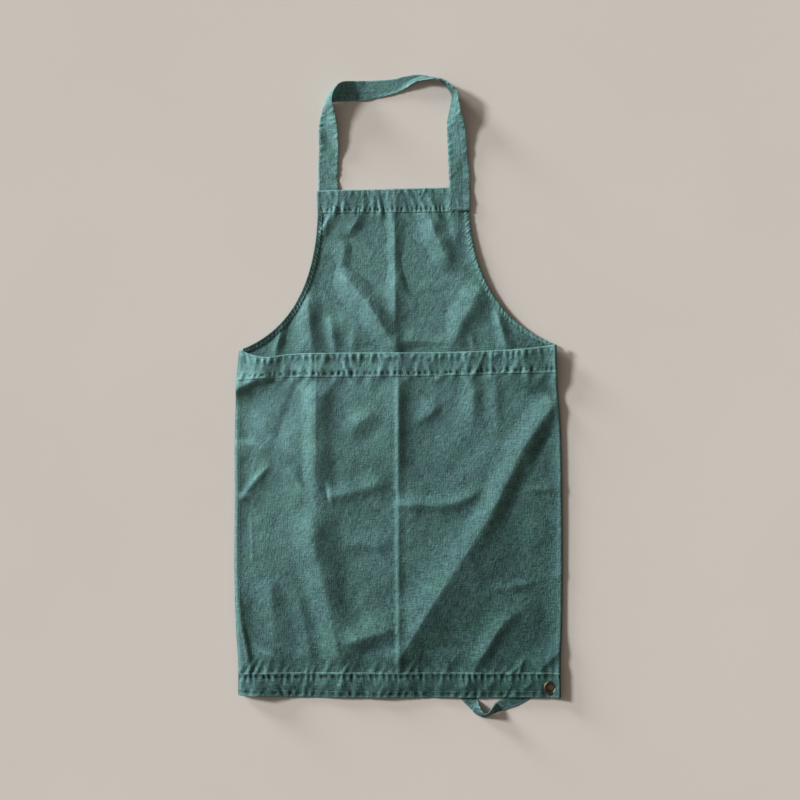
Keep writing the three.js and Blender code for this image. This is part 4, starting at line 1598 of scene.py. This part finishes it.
@dataclass
class BibTrim:
    """The folded band across the bib's top, the bindings round its armholes, and their stitching."""

    bib: BibLie
    band_columns: int = 220
    band_edge: tuple[float, ...] = (0.0, 0.0012, 0.0032, 0.0066)
    band_depth: float = 37.0
    band_widening: float = 3.0
    binding_columns: int = 300
    binding_depth: float = 9.0
    binding_thick: float = 0.6
    binding_from: float = 0.003
    binding_to: float = 0.985
    binding_length: float = 300.0
    puckered_length: float = 320.0
    pucker_seed: int = 40
    edge_stitch: float = 2.0
    binding_stitch: float = 6.6
    binding_face: float = LAYER + 0.2
    band_stitch_end: float = 0.006
    band_stitch_points: int = 400
    binding_stitch_end: float = 0.01
    binding_stitch_points: int = 500

    def depth(self, u: Array) -> Array:
        """Depth of the band at a share across: a little more to the right."""
        return self.band_depth + ease(u, 0.0, 1.0) * self.band_widening

    def band(self) -> Sheet:
        """The band: a folded strip whose leaves lie one layer over and under the bib, and over the floor.

        Returns:
            The sheet.
        """
        u = edge_columns(self.band_columns, self.band_edge)
        leaves = FoldedBand(2).leaves(self.depth(u))
        x, y = self.bib.band_point(u, leaves.inward)
        high = np.maximum(self.bib.low(x, y) + CLOTH / 2.0 + leaves.rise, CLOTH / 2.0)
        return leaves.sheet(np.stack([x, y, high], axis=-1), u)

    def puckers(self, side: Side) -> Puckers:
        """Puckers along an armhole's binding."""
        seed = self.pucker_seed + side.value
        return Puckers(0.0, self.puckered_length, 7.5, 1.1, 6.0, 6.0, seed, 0.0, 0.7, 0.12, 0.4)

    def binding_point(self, side: Side, t: Array, inward: Array) -> Array:
        """Points of the cloth's middle under a binding, with the binding's puckers.

        Args:
            side: Which armhole.
            t: Shares of the way down it.
            inward: Distances in from its edge.

        Returns:
            The points.
        """
        plan = self.bib.armhole(side, t, inward)
        low = self.bib.low(plan[..., 0], plan[..., 1])
        along = self.binding_length * np.broadcast_to(t, low.shape)
        low = low + self.puckers(side).rise(along, inward - self.binding_stitch)
        return np.concatenate([plan, (low + CLOTH / 2.0)[..., None]], axis=-1)

    def binding(self, side: Side) -> Sheet:
        """A binding: a narrow strip folded round an armhole's edge, with leaves over and under the bib.

        Args:
            side: Which armhole.

        Returns:
            The sheet.
        """
        shape = FoldedBand(2, leaf_rows=8, fold_rows=7, back_rows=5, press=5.0)
        t = np.linspace(self.binding_from, self.binding_to, self.binding_columns)
        leaves = shape.leaves(np.full_like(t, self.binding_depth))
        middle = self.binding_point(side, np.broadcast_to(t, leaves.inward.shape), leaves.inward)
        middle[..., 2] += leaves.rise
        along = np.broadcast_to(distance_along(middle[0]), leaves.run.shape)
        uv = np.stack([along, leaves.run], axis=-1) * MM
        return Sheet(middle, uv, thick=self.binding_thick, full=leaves.full)

    def stitch_rows(self) -> list[StitchRow]:
        """Lines of stitches along both edges of the band and round both armholes.

        Returns:
            The lines and their normals.
        """
        u = np.linspace(self.band_stitch_end, 1.0 - self.band_stitch_end, self.band_stitch_points)
        lines = []
        for inward in (np.full_like(u, self.edge_stitch), self.depth(u) - self.edge_stitch):
            x, y = self.bib.band_point(u, inward)
            lines.append(np.stack([x, y, self.bib.low(x, y) + LAYER + CLOTH], axis=-1))
        end = self.binding_stitch_end
        t = np.linspace(self.binding_from + end, self.binding_to - end, self.binding_stitch_points)
        for side in Side:
            line = self.binding_point(side, t, np.full_like(t, self.binding_stitch))
            line[:, 2] += self.binding_face
            lines.append(line)
        return Stitching.upright(lines)

    def build(self, wardrobe: Wardrobe) -> list[bpy.types.Object]:
        """Builds and dresses the band, the bindings and the stitching.

        Args:
            wardrobe: Where finishes come from.

        Returns:
            The pieces.
        """
        band = wardrobe.dress(self.band().build("bib_top_band"), Finish.BAND, "bib_band")
        pieces = [band]
        for side in Side:
            name = side.name.lower()
            binding = self.binding(side).build(f"binding_{name}")
            wardrobe.dress(binding, Finish.BAND, f"armhole_binding_{name}")
            pieces.append(binding)
        thread = wardrobe.dress(Stitching().build("bib_stitching", self.stitch_rows()), Finish.THREAD)
        return [*pieces, thread]


@dataclass
class Hem:
    """The folded hem band, its stitching, and the eyelet and washer in its right corner."""

    skirt: SkirtLie
    columns: int = 340
    edge_stitch: float = 1.8
    low_stitch: float = 10.0
    stitch_end: float = 0.004
    stitch_points: int = 700
    # The eyelet's place, its radii from the cloth's hole to its flange, and its crown's height
    eyelet_x: float = 243.5
    eyelet_y: float = -467.5
    hole: float = 8.2
    bore: float = 6.0
    barrel: float = 6.9
    flange: float = 11.5
    crown: float = 1.8
    # The flange's seat over the cloth, the lip under it, and how little its hidden faces are rubbed
    seat_gap: float = 0.3
    lip: float = 1.0
    lip_drop: float = 0.15
    dull: float = -0.9
    # The washer's radii, its thickness and rounding, and how far over the floor it and the barrel end
    washer_bore: float = 7.25
    washer_rim: float = 11.0
    washer_thick: float = 1.2
    washer_round: float = 0.25
    base: float = 0.4
    wall_rows: int = 8
    roll_rows: int = 21
    around: int = 96

    def band(self) -> Sheet:
        """The band: from the top of its back leaf, round the bottom edge, to the top of its front leaf.

        Returns:
            The sheet, with the eyelet's hole left out.
        """
        u = edge_columns(self.columns)
        edge = self.skirt.hem_bottom_y(u)
        leaves = FoldedBand(3, leaf_rows=26).leaves(self.skirt.seam_y - edge).turned()
        y = edge + leaves.inward
        low = self.skirt.panel_low(np.broadcast_to(u, y.shape), y)
        high = np.maximum(low + (CLOTH - LAYER) / 2.0 + leaves.rise, CLOTH / 2.0)
        middle = np.stack([self.skirt.x_at(u, y), y, high], axis=-1)
        centre = (middle[1:, 1:, :2] + middle[:-1, :-1, :2]) / 2.0
        keep = np.hypot(centre[..., 0] - self.eyelet_x, centre[..., 1] - self.eyelet_y) > self.hole
        return leaves.sheet(middle, u, keep)

    def ring(self, name: str, radius: Array, height: Array, relief: Array) -> bpy.types.Object:
        """A ring: a closed profile of radii and heights turned round the eyelet's axis.

        Args:
            name: The object's name.
            radius: Radius of each point of the profile.
            height: Height of each point.
            relief: How rubbed each point is.

        Returns:
            The object.
        """
        turn = np.linspace(0.0, 2.0 * math.pi, self.around, endpoint=False)
        x = self.eyelet_x + radius[:, None] * np.cos(turn)
        y = self.eyelet_y + radius[:, None] * np.sin(turn)
        z = np.broadcast_to(height[:, None], x.shape)
        points = np.stack([x, y, z], axis=-1).reshape(-1, 3)
        uv = points[:, :2] * MM
        quads = grid_quads(len(radius), self.around)
        return put_mesh(name, points, quads, uv, np.repeat(relief, self.around))

    def eyelet(self) -> bpy.types.Object:
        """The eyelet: a barrel whose top is rolled outwards into a half-round flange.

        Returns:
            The object.
        """
        seat = self.skirt.loop_lift + 4 * LAYER + self.seat_gap
        under = seat - self.lip_drop
        turn = np.linspace(math.pi, 0.0, self.roll_rows)
        middle, reach = (self.bore + self.flange) / 2.0, (self.flange - self.bore) / 2.0
        wall = np.linspace(self.base, seat, self.wall_rows, endpoint=False)
        outside = [self.barrel + self.lip, self.barrel, self.barrel]
        radius = np.concatenate([np.full_like(wall, self.bore), middle + reach * np.cos(turn), outside])
        height = np.concatenate([wall, seat + self.crown * np.sin(turn), [under, under, self.base]])
        dull = np.full_like(wall, self.dull)
        relief = np.concatenate([dull, np.sin(turn), dull[: len(outside)]])
        return self.ring("eyelet_ring", radius, height, relief)

    def washer(self) -> bpy.types.Object:
        """The washer: a flat ring with slightly rounded edges.

        Returns:
            The object.
        """
        soft = self.washer_round
        top = self.base + self.washer_thick
        radius = [self.washer_bore, self.washer_bore + soft, self.washer_rim - soft, self.washer_rim]
        below = [self.base + soft, self.base, self.base, self.base + soft]
        above = [top - soft, top, top, top - soft]
        ring = np.array(radius + radius[::-1])
        return self.ring("washer_ring", ring, np.array(below + above), np.zeros(len(ring)))

    def stitch_rows(self) -> list[StitchRow]:
        """Lines of stitches along the hem's top and bottom edges.

        Returns:
            The lines and their normals.
        """
        u = np.linspace(self.stitch_end, 1.0 - self.stitch_end, self.stitch_points)
        top = np.full_like(u, self.skirt.seam_y - self.edge_stitch)
        bottom = self.skirt.hem_bottom_y(u) + self.low_stitch
        return Stitching.upright([self.skirt.band_face(u, y) for y in (top, bottom)])

    def build(self, wardrobe: Wardrobe) -> list[bpy.types.Object]:
        """Builds and dresses the band, its stitching, the eyelet and the washer.

        Args:
            wardrobe: Where finishes come from.

        Returns:
            The pieces.
        """
        band = wardrobe.dress(self.band().build("hem_fold_band"), Finish.HEM, "hem_band")
        thread = wardrobe.dress(Stitching().build("hem_stitching", self.stitch_rows()), Finish.THREAD)
        eyelet = wardrobe.dress(self.eyelet(), Finish.BRASS, "eyelet")
        washer = wardrobe.dress(self.washer(), Finish.BRASS, "eyelet_washer")
        return [band, thread, eyelet, washer]


@dataclass
class Tape:
    """A flat sewn tape through sections: an outer and an inner edge point, and a bow between them."""

    name: str
    node: str
    sections: tuple[tuple[Point, Point, float], ...]
    thick: float
    flat: tuple[float, float]
    held: str
    rests_on: tuple[str, ...]
    steps: int
    finish: Finish = Finish.STRAP
    strips: int = 22
    edge_shares: tuple[float, ...] = (0.0, 0.012, 0.032)
    edge_round: float = 2.0
    edge_least: float = 0.3
    edge_stitch: float = 0.1
    stitch_end: float = 0.005
    pucker_pitch: float = 10.0
    pucker_height: float = 1.5
    pucker_reach: float = 6.0
    pucker_seed: int = 51
    rumple: Rumple = Rumple(12, 1.5, 27)
    # How much paler the edges are made, from rubbing and a painted highlight, and the distances in over
    # which that lessens
    edge_rub_and_highlight: float = 0.8
    rub_from: float = 0.8
    rub_to: float = 3.0
    seam_at: float = 0.36
    seam_width: float = 0.05
    seam_depth: float = 0.3

    def middle(self, s: Array, across: Array) -> Array:
        """Middle of the tape: edges on smooth curves through the sections, bowed between by a parabola.

        Args:
            s: Shares of the way along, one for each row.
            across: Shares from the outer to the inner edge, one for each column.

        Returns:
            The grid of points.
        """
        number = np.arange(len(self.sections), dtype=float)
        outer, inner = (np.array([section[k] for section in self.sections], dtype=float) for k in (0, 1))
        bows = np.array([section[2] for section in self.sections], dtype=float)
        at = s * number[-1]
        first, second = (
            np.stack([read_curve(number, edge[:, k], at) for k in range(3)], axis=-1)
            for edge in (outer, inner)
        )
        out = np.cross(second - first, np.gradient((first + second) / 2.0, axis=0))
        out /= np.linalg.norm(out, axis=-1, keepdims=True)
        bow = 4.0 * across * (1.0 - across) * read_curve(number, bows, at)[:, None]
        grid = mix(first[:, None], second[:, None], across[:, None]) + bow[..., None] * out[:, None]
        width = np.linalg.norm(outer[0] - inner[0])
        along = distance_along(grid.mean(axis=1))
        ripple = self.ripple(along[:, None], across * width, width)
        grid = grid + ripple[..., None] * out[:, None]
        grid[..., 2] = np.maximum(grid[..., 2], self.thick / 2.0)
        return grid

    def ripple(self, along: Array, across: Array, width: float) -> Array:
        """Unevenness and puckers at the stitches near both edges, less a sunk line between them.

        Args:
            along: Distances along the tape, one for each row.
            across: Distances from the outer edge, one for each column.
            width: Width of the tape.

        Returns:
            Height out of the tape's face.
        """
        along, across = np.broadcast_arrays(along, across)
        total = self.rumple.rise(along, across)
        reach, length = self.pucker_reach, float(along.max())
        for seed, share in enumerate((self.edge_stitch, 1.0 - self.edge_stitch), start=self.pucker_seed):
            row = Puckers(0.0, length, self.pucker_pitch, self.pucker_height, reach, reach, seed)
            total = total + row.rise(along, across - share * width)
        sunk = np.exp(-(((across / width - self.seam_at) / self.seam_width) ** 2))
        return total - self.seam_depth * sunk

    def sheet(self) -> Sheet:
        """The tape's cloth, rounded at both edges and made paler there from rubbing and a painted
        highlight.

        Returns:
            The sheet.
        """
        across = edge_columns(self.strips, self.edge_shares)
        middle = self.middle(np.linspace(0.0, 1.0, self.steps), across)
        width = self.flat[0] / MM
        along = distance_along(middle.mean(axis=1))
        uv = np.stack(np.broadcast_arrays(across * width, along[:, None]), axis=-1) * MM
        gap = side_gap(across, width)
        full = edge_fullness(gap, self.edge_round, self.edge_least)
        # Painted highlight with rubbing: both edges are made paler
        rubbed_and_highlit = self.edge_rub_and_highlight * (1.0 - ease(gap, self.rub_from, self.rub_to))
        return Sheet(middle, uv, thick=self.thick, full=full, rubbed_and_highlit=rubbed_and_highlit)

    def stitch_rows(self) -> list[StitchRow]:
        """Lines of stitches near both edges, on both faces.

        Returns:
            The lines and their normals.
        """
        s = np.linspace(self.stitch_end, 1.0 - self.stitch_end, 2 * self.steps)
        across = np.array([0.0, self.edge_stitch, 0.5, 1.0 - self.edge_stitch, 1.0])
        grid = Sheet(self.middle(s, across), np.zeros((len(s), len(across), 2)))
        rows = []
        for column in (1, 3):
            for face in (-1.0, 1.0):
                normal = face * grid.normals()[:, column]
                line = grid.middle[:, column] + normal * self.thick * 0.5
                line[:, 2] = np.maximum(line[:, 2], Stitching.thick)
                rows.append((line, normal))
        return rows

    def build(self, wardrobe: Wardrobe) -> list[bpy.types.Object]:
        """Builds and dresses the tape and its stitches.

        Args:
            wardrobe: Where finishes come from.

        Returns:
            The pieces.
        """
        tape = wardrobe.dress(self.sheet().build(f"{self.name}_tape"), self.finish, self.node)
        stitches = Stitching().build(f"{self.name}_stitching", self.stitch_rows())
        thread = wardrobe.dress(stitches, Finish.THREAD)
        return [tape, thread]


# Sections along each tape, in order: a point of its outer edge, one of its inner edge, the bow between
NECK_STRAP = (
    ((-128, 294, 1), (-96, 294, 1), 0),
    ((-128, 331, 1), (-96, 331, 1.3), 0),
    ((-128, 368, 1.1), (-96, 368, 4), -1),
    ((-127, 395, 1.2), (-95.5, 395, 7), -2),
    ((-127, 420, 1.2), (-96.5, 420, 10), -3),
    ((-126, 438, 1.2), (-99, 438, 14), -3),
    ((-123, 451, 1.2), (-102, 452, 18), -1),
    ((-118, 461, 1.2), (-104, 465, 22), 3),
    ((-110, 467, 1.2), (-104, 474, 25), 6),
    ((-101, 469, 1.2), (-102, 482, 27), 8),
    ((-91.5, 469.5, 1.2), (-98, 489.5, 27), 9),
    ((-82, 469.5, 1.2), (-91.5, 495.5, 23), 8),
    ((-71, 470, 1.2), (-82, 499, 16), 5),
    ((-56.5, 470.5, 1.8), (-67.5, 501, 7), 2),
    ((-32.5, 474.5, 2.5), (-42, 502.5, 1.5), 2),
    ((-5, 482, 4), (-11.5, 504.5, 1.2), 2.5),
    ((15.5, 491.5, 6.5), (10.5, 509.5, 1.2), 3),
    ((34.5, 501, 11), (30, 512.5, 1.2), 3),
    ((52.5, 505, 18), (47.5, 510.5, 1.2), 2.5),
    ((68.5, 502, 24.5), (64.5, 504.5, 1.2), 1),
    ((82.5, 494, 29), (77, 494, 1.2), 0),
    ((92.5, 482, 28.5), (84.5, 481.5, 1.2), 0),
    ((97, 467, 26), (84.5, 466, 1.2), 0),
    ((101, 451, 21.5), (80.5, 451, 1.2), 0),
    ((104.5, 436.5, 16), (77.5, 436.5, 1.2), 0),
    ((108.5, 412.5, 9.5), (78, 412.5, 1.5), 0),
    ((112, 379, 4.8), (79.5, 379, 3), 0),
    ((114.5, 340, 5.1), (81, 340, 5.1), 0),
    ((114.5, 294, 5.1), (81, 294, 5.1), 0),
)

HANG_LOOP = (
    ((82.5, -469, 0.8), (100.5, -459.5, 0.8), 0),
    ((98.5, -485, 0.8), (116.5, -475, 0.8), 0),
    ((108.5, -495.5, 0.8), (126, -486, 1), 0),
    ((119.5, -506, 0.9), (129, -496.5, 14), 0),
    ((129, -512.5, 0.9), (133, -503.5, 18), 0),
    ((138, -514.5, 0.9), (138.5, -508.5, 20), 0),
    ((147.5, -511.5, 0.9), (144.5, -506, 19.5), 0),
    ((161, -506.5, 0.9), (149, -499, 14), 0),
    ((174, -503, 0.8), (157, -491, 3), 0),
    ((191.5, -497, 0.8), (175.5, -482.5, 0.8), 0),
    ((210.5, -486.5, 0.8), (196.5, -472.5, 0.8), 0),
    ((222, -480.5, 0.8), (209, -466, 0.8), 0),
)


def neck_strap() -> Tape:
    """The strap round the neck, from behind the bib band's left end to the front of its right end."""
    return Tape(
        name="neck_strap",
        node="neck_strap",
        sections=NECK_STRAP,
        thick=2.0,
        flat=(0.0325, 0.6),
        held="laid",
        rests_on=("bib_top_band",),
        steps=420,
    )


def hang_loop() -> Tape:
    """The loop of tape below the hem, whose two ends are caught behind it."""
    return Tape(
        name="hang_loop",
        node="hang_loop",
        sections=HANG_LOOP,
        thick=1.6,
        flat=(0.0205, 0.165),
        held="laid",
        rests_on=("hem_fold_band",),
        steps=170,
        finish=Finish.LOOP,
        strips=16,
    )


@dataclass(frozen=True)
class Lamp:
    """A far lamp with its height and width in degrees, on the light's side or at a bearing of its own."""

    name: str
    strength: float
    elevation: float
    width: float
    colour: Colour
    bearing: float = math.degrees(math.atan2(TOWARDS_LIGHT[1], TOWARDS_LIGHT[0]))

    def build(self) -> None:
        """Puts the lamp into the scene, turned to its place in the sky."""
        light = bpy.data.lights.new(self.name, "SUN")
        light.energy = self.strength
        light.angle = math.radians(self.width)
        light.color = self.colour
        lamp = bpy.data.objects.new(self.name, light)
        lamp.rotation_euler = (0.0, math.radians(90.0 - self.elevation), math.radians(self.bearing))
        bpy.context.scene.collection.objects.link(lamp)


@dataclass
class Studio:
    """A pale floor under soft lamps low on the left and an even fill, seen straight from above."""

    view_x: float = 0.0027
    view_y: float = -0.0083
    view_width: float = 1.28
    lens: float = 85.0
    sensor: float = 36.0
    floor_half: float = 8.0
    view_depth: float = 100.0
    lamps: tuple[Lamp, ...] = (
        Lamp("key", 3.52, 28.5, 10.0, (0.94, 0.97, 1.0)),
        Lamp("glow", 0.32, 31.0, 62.0, (0.97, 0.985, 1.0)),
        Lamp("low_glow", 3.6, 9.0, 16.0, (0.97, 0.985, 1.0), 140.0),
    )
    fill_colour: Colour = (1.0, 0.885, 0.74)
    fill_strength: float = 0.21

    def build(self) -> None:
        """Makes the floor, the lights and the camera."""
        self.floor()
        self.lights()
        self.camera()

    def floor(self) -> None:
        """Lays the floor that the apron rests on."""
        corners = np.array([[-1, -1, 0], [1, -1, 0], [1, 1, 0], [-1, 1, 0]]) * self.floor_half
        mesh = bpy.data.meshes.new("floor")
        mesh.from_pydata(corners.tolist(), [], [(0, 1, 2, 3)])
        mesh.materials.append(PaleFloor("pale_floor").material())
        floor = bpy.data.objects.new("floor", mesh)
        bpy.context.scene.collection.objects.link(floor)

    def lights(self) -> None:
        """Sets the lamps, and a warm even fill all round."""
        for lamp in self.lamps:
            lamp.build()
        world = bpy.data.worlds.new("fill")
        world.use_nodes = True
        background = world.node_tree.nodes["Background"]
        background.inputs["Color"].default_value = (*self.fill_colour, 1.0)
        background.inputs["Strength"].default_value = self.fill_strength
        bpy.context.scene.world = world

    def camera(self) -> None:
        """Hangs the camera over the view's middle, as far off as its lens needs for the view's width."""
        camera = bpy.data.cameras.new("camera")
        camera.lens = self.lens
        camera.sensor_width = self.sensor
        camera.clip_end = self.view_depth
        view = bpy.data.objects.new("camera", camera)
        view.location = (self.view_x, self.view_y, self.view_width * self.lens / self.sensor)
        bpy.context.scene.collection.objects.link(view)
        bpy.context.scene.camera = view
        bpy.context.scene.view_settings.view_transform = "Standard"


def main() -> None:
    """Builds the apron's sub-assemblies in order, sets the studio and notes the sizes."""
    logging.basicConfig(level=logging.INFO, format="%(name)s %(message)s")
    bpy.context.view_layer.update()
    wardrobe = Wardrobe()
    skirt, bib = SkirtLie(), BibLie()
    cloths = BodyCloth(skirt, bib), PouchFront(skirt), BibTrim(bib), Hem(skirt)
    for part in (*cloths, neck_strap(), hang_loop()):
        pieces = part.build(wardrobe)
        LOG.info("%s done: %s", type(part).__name__, ", ".join(piece.name for piece in pieces))
    Studio().build()


if __name__ == "__main__":
    main()
